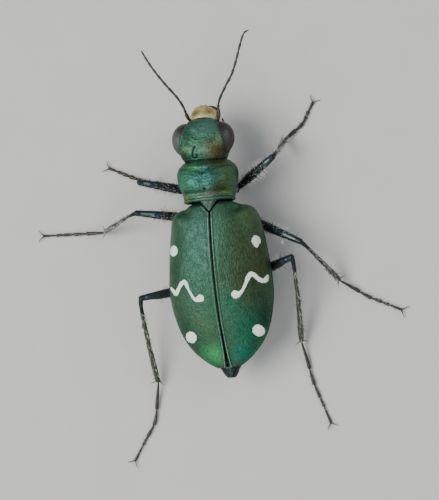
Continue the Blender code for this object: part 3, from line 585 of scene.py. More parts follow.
def shieldSurface():
    look = shield
    y = np.linspace(look["front"], look["rear"], look["rows"])
    halfWidth, top, bottom = (curveAt(look[key], y) for key in ("halfWidth", "top", "bottom"))
    rim = bottom + look["rim"] * (top - bottom)
    grid = closedRings(y, rim, arch(halfWidth, rim - bottom, look["squareness"], look["below"]),
                       arch(halfWidth, top - rim, look["squareness"], look["above"]))
    normals = gridNormals(grid, True)
    x, gy = grid[..., 0], grid[..., 1]
    wide = np.abs(x)
    onTop = softStep(0.1, 0.5, normals[..., 2])
    frontLine = -4.13 + 0.27 * hill(x, -0.04, 0.24) + 0.03 * cloud(grid, 0.5, 9)    # runs back at the middle
    frontGroove = hill(gy, frontLine, 0.09) * (0.6 + 0.4 * softStep(0.1, 0.6, wide))
    rearGroove = hill(gy, -2.88 + 0.03 * np.cos(x * 3.2), 0.12)
    midline = hill(x, -0.06, 0.03) * plateau(gy, -4.2, -4.05, -3.05, -2.9)
    disc = plateau(gy, -4.1, -3.9, -3.0, -2.85)
    pit = mound(x, gy, *look["pit"])
    gutter = hill(gy, look["gutter"], 0.022)
    bx, by, reach = look["boss"]
    corners = mound(wide, gy, bx - 0.05, by - 0.2, 0.3, 0.1) * onTop
    lift = onTop * (0.05 * mound(wide, gy, 0.62, -3.5, 0.45, 0.42) - look["frontGroove"] * frontGroove
                    - look["rearGroove"] * rearGroove - look["midline"] * midline - look["pitDepth"] * pit)
    lift += 0.02 * (hill(gy, look["bead"], 0.025) - gutter) + 0.018 * hill(gy, -4.42, 0.03)
    lift += look["wrinkle"] * cloud(grid * [0.55, 1.5, 0.5], 0.13, 4) * (0.35 + 0.65 * disc * onTop)
    lift += 0.004 * cloud(grid, 0.06, 6) - 0.03 * corners
    lift += look["bossRise"] * mound(wide, gy, bx, by, reach)
    # painted shade: groove darkens the grooves, the pit, the gutter and the sunk corners
    groove = onTop * (0.55 * frontGroove + 0.5 * rearGroove + 0.45 * midline) + pit + 0.7 * gutter
    # painted highlight: margin lightens the rear bead and the crest in front of the front groove
    margin = onTop * (0.9 * hill(gy, look["bead"], 0.02)
                      + 0.25 * hill(gy, frontLine - 0.13, 0.05) * softStep(-0.9, -0.2, x))
    grid = grid + normals * lift[..., None]
    grid[..., 0] += look["x"]
    return grid, {"groove": np.clip(groove + 0.4 * corners, 0, 1), "margin": np.clip(margin, 0, 1)}


shieldSkin, marks = shieldSurface()
shellPiece("shield", shieldSkin, marks, [(0.975, -0.03), (0.93, -0.03), (0.89, 0.02), (0.86, 0.12)],
           [(0.98, 0.025), (0.93, 0.025), (0.88, -0.03), (0.8, -0.15)], armourFinish, "armour", "prothorax")
print("stage: shield and scutellum")


# Head, in places of its own: across, forward from the neck, and height

neck = {"at": np.array([0.14, -4.56, 0.0]), "yaw": math.radians(-2.4)}


def fromNeck(places):
    places = np.asarray(places, float)
    c, s = math.cos(neck["yaw"]), math.sin(neck["yaw"])
    x, y = places[..., 0], -places[..., 1]
    return np.stack([c * x - s * y, s * x + c * y, places[..., 2]], -1) + neck["at"]


headShape = {
    "back": -0.35, "length": 2.53,
    "halfWidth": [(-0.35, 0.78), (-0.1, 0.98), (0.02, 1.07), (0.3, 1.17), (0.6, 1.26), (0.95, 1.3),
                  (1.25, 1.28), (1.5, 1.17), (1.75, 1.0), (1.95, 0.8), (2.08, 0.6), (2.15, 0.42),
                  (2.18, 0.24)],
    "top": [(-0.35, 3.85), (-0.1, 4.02), (0.02, 4.12), (0.3, 4.28), (0.75, 4.35), (1.2, 4.3), (1.5, 4.18),
            (1.75, 4.04), (1.95, 3.88), (2.08, 3.74), (2.15, 3.62), (2.18, 3.52)],
    "bottom": [(-0.35, 2.7), (0.0, 2.45), (0.5, 2.15), (1.2, 2.08), (1.75, 2.1), (1.95, 2.25), (2.08, 2.5),
               (2.15, 2.8), (2.18, 3.05)],
    "squareness": 3.2, "hollow": 0.08, "rows": 230, "above": 120, "below": 40,
    "crease": [(0.26, 0.66), (0.34, 0.5), (0.4, 0.32), (0.42, 0.18), (0.4, 0.08), (0.3, 0.06), (0.2, 0.08),
               (0.19, 0.22)],
    "creaseDepth": 0.035, "stria": 0.075, "striaDepth": 0.009, "orbitRim": 0.035,
}
eyeShape = {"out": 0.86, "along": 1.06, "height": 3.5, "radii": (0.77, 0.86, 0.53), "toeIn": math.radians(9),
            "facetRise": 0.0045}


def eyeFrame(side):                       # centre and turn of an eye in the beetle's frame
    centre = fromNeck([side * eyeShape["out"], eyeShape["along"], eyeShape["height"]])
    angle = neck["yaw"] + side * eyeShape["toeIn"]
    c, s = math.cos(angle), math.sin(angle)
    return centre, np.array([[c, -s, 0], [s, c, 0], [0, 0, 1]])


def headSurface():
    look = headShape
    forward = look["back"] + look["length"] * (1 - (1 - np.linspace(0, 1, look["rows"])) ** 1.35)
    halfWidth, top, bottom = (curveAt(look[key], forward) for key in ("halfWidth", "top", "bottom"))
    middle = bottom + 0.5 * (top - bottom)
    ax, az = arch(halfWidth, top - middle, look["squareness"], look["above"])
    az = az - (look["hollow"] * hill(forward, 1.15, 0.55))[:, None] * (1 - (ax / halfWidth[:, None]) ** 2)
    lower = arch(halfWidth, middle - bottom, look["squareness"], look["below"])
    own = closedRings(forward, middle, lower, (ax, az))
    x, far = own[..., 0], own[..., 1]
    wide = np.abs(x)
    grid = fromNeck(own)
    normals = gridNormals(grid, True)
    onTop = softStep(0.15, 0.5, normals[..., 2] + 0.25 * (far > 1.5))
    orbit = np.zeros(x.shape)
    for side in sides.values():
        centre, turn = eyeFrame(side)
        reach = np.linalg.norm((grid - centre) @ turn / np.array(eyeShape["radii"]), axis=-1)
        orbit = np.maximum(orbit, hill((reach - 1) * 0.6, 0.07, 0.05))
    brow = plateau(wide, 0.42, 0.6, 0.85, 1.0) * plateau(far, 0.5, 0.8, 1.5, 1.75) * onTop
    stria = np.cos(2 * math.pi * (wide + 0.12 * (far - 1.1) ** 2) / look["stria"])
    crease = hill(lineAway(x, far, np.array(look["crease"])), 0, 0.034) * onTop
    lift = look["orbitRim"] * orbit + look["striaDepth"] * stria * brow - look["creaseDepth"] * crease
    lift -= 0.02 * mound(x, far, 0, 1.75, 0.6, 0.1) * onTop       # a low hollow behind the brim
    lift += 0.008 * cloud(own * [1, 1.3, 1], 0.12, 12) * (1 - 0.5 * brow)
    lift += 0.014 * cloud(grid, 0.34, 15) * onTop + 0.003 * cloud(grid, 0.055, 16)
    # painted shade: groove darkens the crease, the neck line and the furrows of the brow, and darkens the
    # steep front below the brim as painted shadow
    groove = 0.9 * crease + 0.55 * hill(far, -0.02, 0.03) * onTop + 0.35 * brow * (stria < -0.3)
    groove = np.clip(groove + 0.8 * softStep(2.0, 2.14, far), 0, 1)
    # painted highlight along the upward-facing side of the eye rims
    margin = 0.35 * orbit * (normals[..., 2] > 0)
    return grid + normals * lift[..., None], {"groove": groove, "margin": margin}


headSkin, marks = headSurface()
shellPiece("headShell", headSkin, marks, [(0.8, 0.02)], [(0.7, -0.012), (0.35, -0.018)],
           armourFinish, "armour", "head")

eyeLook = {
    "ground": (0.018, 0.013, 0.008), "second": (0.032, 0.024, 0.018), "wander": 0.35,
    # painted reflections: bluish on the right eye, pale glare on the left eye
    "patches": [((-1.2, -5.55, 3.95), (0.4, 0.6, 0.6), (0.04, 0.045, 0.055), 0.85),
                ((1.4, -5.6, 3.8), (0.5, 0.8, 0.7), (0.12, 0.15, 0.13), 0.8)],
    "streak": 0.12, "light": (0.055, 0.05, 0.042), "dark": (0.007, 0.005, 0.004), "streakLight": 0.35,
    "streakDark": 0.5, "rough": 0.34, "shine": 0.4, "coat": 0.1,
    "bead": 0.024, "beadHeight": 0.3, "streakHeight": 0.2, "relief": 0.004,
}
eyeFinish = cuticle("compoundEye", eyeLook)


def facetedEye(word):                     # every facet is a low dome with six neighbours
    bm = bmesh.new()
    bmesh.ops.create_icosphere(bm, subdivisions=6, radius=1.0)
    peaks = np.array([v.co for v in bm.verts])
    centres = np.array([f.calc_center_median() for f in bm.faces])
    edges = [[item.index for item in (*e.verts, *e.link_faces)] for e in bm.edges]
    bm.free()
    centre, turn = eyeFrame(sides[word])
    radii = np.array(eyeShape["radii"])
    low = (unit(centres) * radii) @ turn.T + centre
    raised = (unit(peaks) * (radii + eyeShape["facetRise"])) @ turn.T + centre
    count = len(peaks)
    faces = []
    for a, b, f, g in edges:
        faces += [[a, count + f, count + g], [b, count + g, count + f]]
    pot = newPot()
    pour(pot, np.concatenate([raised, low]), faces)
    makePiece("eye" + word, pot, eyeFinish, ["eye_" + word.lower()], sharp=80)


for word in sides:
    facetedEye(word)
print("stage: head and eyes")


# Mouth

lip = {
    "start": 1.98, "length": 0.86, "top": 3.3, "drop": 0.48, "arch": 0.2, "thick": 0.1, "x": 0.14,
    "yaw": math.radians(11),
    "halfWidth": [(0.0, 0.63), (0.3, 0.65), (0.65, 0.62), (0.88, 0.58), (1.0, 0.5)],
    "tooth": 0.045, "sideTooth": 0.03, "rows": 60, "columns": 81,
}
lipLook = {
    "ground": (0.36, 0.29, 0.09), "second": (0.45, 0.37, 0.13), "wander": 0.25,
    "patches": [(tuple(fromNeck([0.5, 2.45, 3.1])), (0.4, 0.42, 0.6), (0.1, 0.07, 0.008), 0.95),
                (tuple(fromNeck([-0.25, 2.5, 3.1])), (0.4, 0.46, 0.6), (0.085, 0.06, 0.008), 0.95),
                (tuple(fromNeck([0.12, 2.95, 2.9])), (0.9, 0.24, 0.6), (0.13, 0.08, 0.015), 0.85),
                (tuple(fromNeck([0.1, 2.1, 3.2])), (1.5, 0.44, 1.0), (0.95, 0.88, 0.46), 1.0)],
    "streak": 0.08, "light": (0.6, 0.52, 0.24), "dark": (0.15, 0.1, 0.02), "streakLight": 0.35,
    "streakDark": 0.45, "rough": 0.36, "shine": 0.4, "coat": 0.1, "bead": 0.07, "relief": 0.008,
    "marks": [("edge", (0.07, 0.04, 0.012), 0.35, 1.0)],
}
lipFinish = cuticle("ivoryLip", lipLook)


def upperLip():
    look = lip
    share = np.linspace(0, 1, look["rows"])[:, None]
    k = np.linspace(-1, 1, look["columns"])
    x = curveAt(look["halfWidth"], share[:, 0])[:, None] * k
    teeth = look["tooth"] * hill(k, 0, 0.12) + look["sideTooth"] * hill(np.abs(k), 0.5, 0.1)
    forward = look["start"] + look["length"] * share + teeth * share ** 6 - 0.1 * np.abs(k) ** 3 * share ** 2
    z = look["top"] - look["drop"] * share ** 1.3 - look["arch"] * np.abs(k) ** 2.2
    z = z + 0.03 * hill(x, 0, 0.09) * softStep(0.1, 0.5, share) - 0.02 * hill(np.abs(x), 0.3, 0.12)
    grid = np.stack([x, forward, z], -1)
    grid[..., 2] += 0.005 * cloud(grid, 0.12, 21)
    for px in (0.14, 0.3, 0.46):          # sockets of bristles
        grid[..., 2] -= 0.025 * mound(np.abs(x), forward, px, 2.78 - 0.25 * px, 0.03)
    edge = np.clip(hill(share, 1.0, 0.03) + 0.8 * hill(np.abs(k), 1.0, 0.02), 0, 1)
    c, s = math.cos(look["yaw"]), math.sin(look["yaw"])      # the lip sits a little askew
    ahead = forward - look["start"]
    grid[..., 0] = look["x"] + c * x - s * ahead
    grid[..., 1] = look["start"] + s * x + c * ahead
    pot = newPot()
    pourSheet(pot, fromNeck(grid), look["thick"], edge=edge)
    makePiece("upperLip", pot, lipFinish, ["labrum"])


upperLip()

jaw = {
    "path": [(0.46, 1.75, 2.45), (0.5, 2.1, 2.42), (0.57, 2.42, 2.3), (0.45, 2.72, 2.18), (0.1, 2.92, 2.14)],
    "x": 0.06,
    "radii": [(0.0, 0.22), (0.2, 0.26), (0.45, 0.19), (0.75, 0.1), (1.0, 0.012)],
    "teeth": [(0.6, 0.2), (0.76, 0.16), (0.4, 0.24)],     # share along the jaw and length
}
hornLook = {
    "ground": (0.028, 0.012, 0.006), "second": (0.05, 0.02, 0.008), "wander": 0.3, "streak": 0.1,
    "light": (0.14, 0.07, 0.03), "dark": (0.008, 0.004, 0.003), "streakLight": 0.3, "rough": 0.24,
    "shine": 0.55, "coat": 0.3, "bead": 0.08, "relief": 0.004, "ragged": 0.15,
    "marks": [("pale", (0.6, 0.55, 0.36), 0.4, 0.65)],
}
hornFinish = cuticle("darkHorn", hornLook)


def mandible(word):
    look, side = jaw, sides[word]
    t = np.linspace(0, 1, 60)
    path = fromNeck(pathAt([(look["x"] + side * x, y, z) for x, y, z in look["path"]], t))
    rows = limb(path, curveAt(look["radii"], t), 28, 0.8)
    outward = unit(fromNeck([side, 0, 0]) - fromNeck([0, 0, 0]))
    facing = unit(rows - path[:, None]) @ outward
    pot = newPot()
    pourTube(pot, rows, pale=softStep(0.0, 0.45, facing) * softStep(0.55, 0.4, t)[:, None])
    ahead = unit(np.gradient(path, axis=0))
    s = np.linspace(0, 1, 12)
    for at, length in look["teeth"]:      # inner teeth point to the other jaw
        k = int(at * 59)
        inward = unit(-outward + 0.35 * ahead[k])
        line = path[k] + np.outer(s, inward) * length + np.outer(s ** 2, ahead[k]) * 0.05
        pourTube(pot, limb(line, 0.075 * (1 - 0.9 * s), 12))
    makePiece("mandible" + word, pot, hornFinish, ["mandible_" + word.lower()])


palps = {
    "cheek": {"node": "maxillary_palp_", "joints": [0.22, 0.3, 0.24, 0.24], "radius": 0.085, "pale": 0.15,
              "path": [(0.6, 1.5, 2.12), (0.64, 1.66, 1.86), (0.64, 1.84, 1.6), (0.6, 2.06, 1.4),
                       (0.5, 2.3, 1.32)]},
    "chin": {"node": "labial_palp_", "joints": [0.3, 0.42, 0.28], "radius": 0.09, "pale": 0.9,
             "path": [(0.25, 1.2, 2.05), (0.31, 1.4, 1.75), (0.32, 1.7, 1.42), (0.32, 2.1, 1.2),
                      (0.3, 2.6, 1.1)]},
}
headLimbs = []                            # palps and feelers, for their bristles


def jointedLimb(path, joints, radiusOf, perJoint=16, swell=0.3, pinch=0.62):
    # a limb of joints: each is narrow at its root, swells towards its end and closes in a pinch
    ends = np.concatenate([[0], np.cumsum(joints)]) / sum(joints)
    s = np.linspace(0, 1, perJoint)
    shape = (1 - swell) + swell * softStep(0.0, 0.9, s)
    shape = shape * (1 - (1 - pinch) * (hill(s, 0, 0.05) + 0.8 * hill(s, 1, 0.035)))
    shares = np.concatenate([a + (b - a) * s * 0.998 for a, b in zip(ends, ends[1:])])
    radii = [shape * radiusOf(k, a + (b - a) * s) for k, (a, b) in enumerate(zip(ends, ends[1:]))]
    return pathAt(path, shares), np.concatenate(radii), np.repeat(np.arange(len(joints)), perJoint)


def palp(kind, word):
    look = palps[kind]
    path = [fromNeck((sides[word] * x, y, z)) for x, y, z in look["path"]]
    line, radii, joint = jointedLimb(path, look["joints"], lambda k, t: look["radius"] * (1 - 0.15 * t))
    last = joint == joint[-1]
    rows = limb(line, radii * (1 - 0.35 * last * np.linspace(0, 1, len(radii)) ** 4), 16)
    headLimbs.append(("palp", rows))
    tubePiece(kind + "Palp" + word, rows, hornFinish, "mouth", look["node"] + word.lower(),
              pale=np.where(last, 0.0, look["pale"]))


for word in sides:
    mandible(word)
    for kind in palps:
        palp(kind, word)
print("stage: mouth")


# Feelers

feeler = {
    "Left": {"root": [(0.58, 1.98, 3.3), (0.76, 2.22, 3.45)], "copper": 1.1,
             "path": [(0.9, -7.32, 3.8), (1.02, -7.74, 4.35), (1.5, -8.6, 5.3), (1.86, -9.33, 5.95),
                      (2.14, -10.08, 6.5)]},
    "Right": {"root": [(-0.76, 1.92, 3.32), (-0.86, 2.2, 3.48)], "copper": 0.35,
              "path": [(-0.96, -7.34, 3.85), (-1.62, -8.02, 4.8), (-2.12, -8.5, 5.35), (-2.55, -9.08, 5.95),
                       (-2.98, -9.84, 6.5), (-3.28, -10.3, 6.75), (-3.56, -10.38, 6.9)]},
    "joints": [0.62, 0.2, 0.7, 0.55, 0.6, 0.52, 0.5, 0.47, 0.43, 0.4, 0.42],
    "radii": [0.095, 0.075, 0.074, 0.072, 0.075, 0.072, 0.07, 0.068, 0.066, 0.062, 0.058],
}
feelerLook = {
    "ground": (0.035, 0.034, 0.03), "second": (0.055, 0.052, 0.045), "wander": 0.4, "streak": 0.06,
    "light": (0.2, 0.2, 0.18), "dark": (0.012, 0.012, 0.01), "streakLight": 0.4, "rough": 0.42, "metal": 0.25,
    "shine": 0.5, "bead": 0.04, "relief": 0.006, "ragged": 0.1,
    "marks": [("copper", (0.05, 0.022, 0.014), 0.2, 0.8)],
}
feelerFinish = cuticle("feelerHorn", feelerLook)
for word in sides:
    look = feeler[word]
    path = [*fromNeck(look["root"]), *np.array(look["path"])]
    line, radii, joint = jointedLimb(path, feeler["joints"], lambda k, t: feeler["radii"][k], 16, 0.28, 0.6)
    radii[-8:] *= np.linspace(1, 0.35, 8)
    rows = limb(line, radii, 16)
    headLimbs.append(("feeler", rows))
    tubePiece("feeler" + word, rows, feelerFinish, "antenna", "antenna_" + word.lower(),
              copper=np.clip(look["copper"] - 0.33 * joint, 0, 1))
print("stage: feelers")


# Trunk and belly under the wing cases

trunk = {
    "front": -2.75, "split": 1.65, "rear": 6.45,
    "halfWidth": [(-2.75, 0.75), (-2.4, 0.95), (-2.25, 1.15), (-1.8, 1.88), (0.0, 2.16), (2.0, 2.34),
                  (3.2, 2.2), (4.4, 1.7), (5.4, 1.0), (6.1, 0.48), (6.45, 0.22)],
    "bottom": [(-2.75, 2.6), (-2.25, 2.05), (-1.6, 1.68), (0.6, 1.55), (3.0, 1.48), (5.0, 1.48), (6.0, 1.58),
               (6.45, 1.78)],
    "top": [(-2.75, 3.4), (-2.25, 3.75), (-1.8, 3.7), (-1.2, 3.85), (0.2, 3.9), (2.0, 3.72), (3.6, 3.3),
            (4.8, 2.8), (5.6, 2.35), (6.1, 2.24), (6.45, 2.1)],
    "waist": [(-2.75, 3.0), (-2.25, 3.1), (-1.5, 2.82), (0.0, 2.68), (2.0, 2.55), (4.0, 2.33), (5.6, 2.1),
              (6.45, 1.96)],
    "rings": 6, "firstRing": 0.2, "below": 60, "above": 24,
}
underLook = {
    "ground": (0.012, 0.055, 0.06), "second": (0.014, 0.07, 0.05), "wander": 0.7,
    "patches": [((2.0, -0.8, 2.2), (0.7, 1.4, 0.9), (0.09, 0.06, 0.02), 0.6),
                ((-2.0, -0.8, 2.2), (0.7, 1.4, 0.9), (0.09, 0.06, 0.02), 0.6),
                # near black over the belly's tip: partly its dark colour, partly painted shade under the
                # wing-case tips
                ((0.1, 6.1, 2.3), (2.2, 2.0, 2.0), (0.004, 0.0045, 0.004), 1.0)],
    "streak": 0.1, "light": (0.05, 0.14, 0.13), "dark": (0.006, 0.02, 0.022), "metal": 0.55, "rough": 0.3,
    "shine": 0.55, "bead": 0.07, "relief": 0.01, "coat": 0.1,
    "marks": [("groove", (0.008, 0.014, 0.012), 0.2, 1.0)],
}
underFinish = cuticle("undersideBlueGreen", underLook)


def trunkSurface(first, last, rows):
    y = np.linspace(first, last, rows)
    keys = ("halfWidth", "top", "bottom", "waist")
    halfWidth, top, bottom, waist = (curveAt(trunk[key], y) for key in keys)
    grid = closedRings(y, waist, arch(halfWidth, waist - bottom, 2.1, trunk["below"]),
                       arch(np.minimum(halfWidth - 0.05, 2.0), top - waist, 2.35, trunk["above"]), skip=0)
    return grid, gridNormals(grid, True)


def thoraxSurface():                      # side plates and breast plates, parted by seams
    grid, normals = trunkSurface(trunk["front"], trunk["split"] + 0.03, 190)
    x, y = grid[..., 0], grid[..., 1]
    wide = np.abs(x)
    under = softStep(0.2, -0.2, normals[..., 2])
    seams = [hill(y, -1.05 + 0.35 * (wide - 1) * softStep(0.6, 1.2, wide), 0.03),
             hill(y, 0.95 - 0.25 * np.cos(x * 1.7), 0.03),
             hill(wide, 1.55 - 0.1 * y, 0.03) * plateau(y, -1.1, -0.9, 0.9, 1.2),
             hill(x, 0, 0.025) * plateau(y, -0.9, -0.5, 1.0, 1.3)]
    groove = np.clip(sum(seams), 0, 1) * under
    lift = -0.035 * groove + 0.02 * cloud(grid, 0.5, 31) * under + 0.006 * cloud(grid, 0.1, 32)
    grid = grid + normals * lift[..., None]
    grid[..., 0] += middleOf(y)
    return grid, {"groove": groove}


def bellySurface():                       # six belly rings, each overlapping the next
    grid, normals = trunkSurface(trunk["split"], trunk["rear"], 260)
    x, y = grid[..., 0], grid[..., 1]
    under = softStep(0.3, -0.1, normals[..., 2])
    start = trunk["split"] + trunk["firstRing"]
    length = (trunk["rear"] - start) / trunk["rings"]
    share = np.clip((y - 0.12 * (1 - (x / 2.3) ** 2) - start) / length, 0, trunk["rings"])
    within = share % 1.0
    groove = np.clip(hill(within, 0.97, 0.05) + hill(within, 0.0, 0.03), 0, 1) * (share > 0.02)
    step = plateau(within, 0.0, 0.88, 0.9, 1.0)
    lift = (0.05 * step - 0.03 * groove) * np.maximum(under, 0.35) * (share > 0)
    lift += 0.012 * cloud(grid, 0.4, 33) * under + 0.005 * cloud(grid, 0.09, 34)
    lift -= 0.02 * hill(np.abs(x), 1.5 - 0.25 * (y - 2), 0.06) * under
    grid = grid + normals * lift[..., None]
    grid[..., 0] += middleOf(y)
    return grid, {"groove": 0.8 * groove}


thoraxSkin, marks = thoraxSurface()
shellPiece("breast", thoraxSkin, marks, [(0.9, -0.03)], [(0.9, 0.01)], underFinish, "underside", "thorax")
bellySkin, marks = bellySurface()
shellPiece("belly", bellySkin, marks, [(0.9, -0.01)], [(0.9, 0.03), (0.6, 0.06)],
           underFinish, "underside", "abdomen")
print("stage: trunk and belly")


# Legs

stance = {
    "frontRight": [(-3.3, -4.45, 2.75), (-3.4, -5.45, 0.42), (-4.38, -6.22, 0.2), (-5.05, -7.3, 0.17)],
    "middleRight": [(-4.28, 0.02, 2.35), (-5.68, 2.06, 0.42), (-7.0, 3.0, 0.2), (-8.7, 3.86, 0.17)],
    "hindRight": [(-3.85, 0.75, 2.8), (-3.38, 5.0, 0.42), (-3.75, 7.1, 0.2), (-4.48, 9.3, 0.17)],
    "frontLeft": [(3.96, -3.91, 2.6), (3.9, -3.95, 0.42), (5.0, -4.45, 0.2), (6.2, -5.06, 0.17)],
    "middleLeft": [(4.32, -2.36, 2.4), (6.6, -1.68, 0.42), (8.4, -1.78, 0.2), (10.1, -1.87, 0.17)],
    "hindLeft": [(4.5, 2.07, 2.3), (4.4, 6.4, 0.42), (4.85, 8.4, 0.2), (6.12, 10.35, 0.17)],
}
legShape = {
    "hip": {"front": (0.85, -3.05, 1.52), "middle": (1.0, -1.75, 1.28), "hind": (0.72, 1.6, 1.22)},
    "coxa": {"front": (0.52, -3.2, 1.8), "middle": (0.6, -1.72, 1.5), "hind": (0.5, 1.25, 1.5)},
    "coxaRadii": {"front": (0.42, 0.5, 0.52), "middle": (0.44, 0.46, 0.46), "hind": (0.5, 0.44, 0.36)},
    "trochanter": 0.19,
    "femur": {"front": [(0.0, 0.1), (0.08, 0.15), (0.35, 0.24), (0.7, 0.21), (0.9, 0.165), (1.0, 0.155)],
              "middle": [(0.0, 0.1), (0.08, 0.15), (0.3, 0.235), (0.65, 0.21), (0.9, 0.16), (1.0, 0.15)],
              "hind": [(0.0, 0.1), (0.08, 0.16), (0.3, 0.25), (0.65, 0.235), (0.9, 0.185), (1.0, 0.165)]},
    "tibia": {"front": [(0.0, 0.11), (0.06, 0.12), (0.14, 0.1), (0.55, 0.13), (0.85, 0.165), (1.0, 0.13)],
              "middle": [(0.0, 0.1), (0.05, 0.11), (0.12, 0.085), (0.5, 0.095), (0.85, 0.135), (1.0, 0.11)],
              "hind": [(0.0, 0.105), (0.04, 0.12), (0.1, 0.1), (0.5, 0.115), (0.9, 0.14), (1.0, 0.11)]},
    "footJoints": [0.34, 0.2, 0.16, 0.12, 0.22], "footRadius": {"front": 0.1, "middle": 0.088, "hind": 0.084},
    # on the next line, the share of each thigh's length where its painted highlight begins
    "footTaper": [1.12, 1.06, 0.98, 0.88, 0.8], "paintedGlintFrom": {"front": 0.76, "middle": 0.66, "hind": 0.84},
    "spur": {"front": 0.42, "middle": 0.5, "hind": 0.55}, "claw": 0.34, "clawSpread": math.radians(56),
}
legLook = {
    "ground": (0.006, 0.01, 0.0105), "second": (0.01, 0.02, 0.019), "wander": 0.6, "streak": 0.09,
    "light": (0.045, 0.06, 0.06), "dark": (0.003, 0.004, 0.004), "streakLight": 0.3, "streakDark": 0.5,
    "metal": 0.3, "rough": 0.32, "shine": 0.32, "bead": 0.06, "relief": 0.006, "coat": 0.1, "ragged": 0.12,
    # groove darkens the joints and, as painted shade, the hollow under each thigh's end and the shin's
    # furrows; the last two marks are a painted bluish reflection and a painted pale highlight near the knee
    "marks": [("shin", (0.062, 0.076, 0.052), 0.3, 0.9), ("groove", (0.004, 0.006, 0.006), 0.3, 1.0),
              ("cool", (0.012, 0.026, 0.04), 0.25, 0.9), ("sheen", (0.15, 0.19, 0.15), 0.45, 1.0)],
}
legFinish = cuticle("legBlackGreen", legLook)
footLook = {
    "ground": (0.022, 0.02, 0.016), "second": (0.045, 0.035, 0.022), "wander": 0.3, "streak": 0.07,
    "light": (0.12, 0.1, 0.07), "dark": (0.008, 0.007, 0.006), "metal": 0.35, "rough": 0.32, "shine": 0.5,
    "bead": 0.05, "relief": 0.006, "ragged": 0.1,
    "marks": [("groove", (0.006, 0.005, 0.004), 0.3, 1.0)],
}
footFinish = cuticle("footBronze", footLook)
legSkins = {}


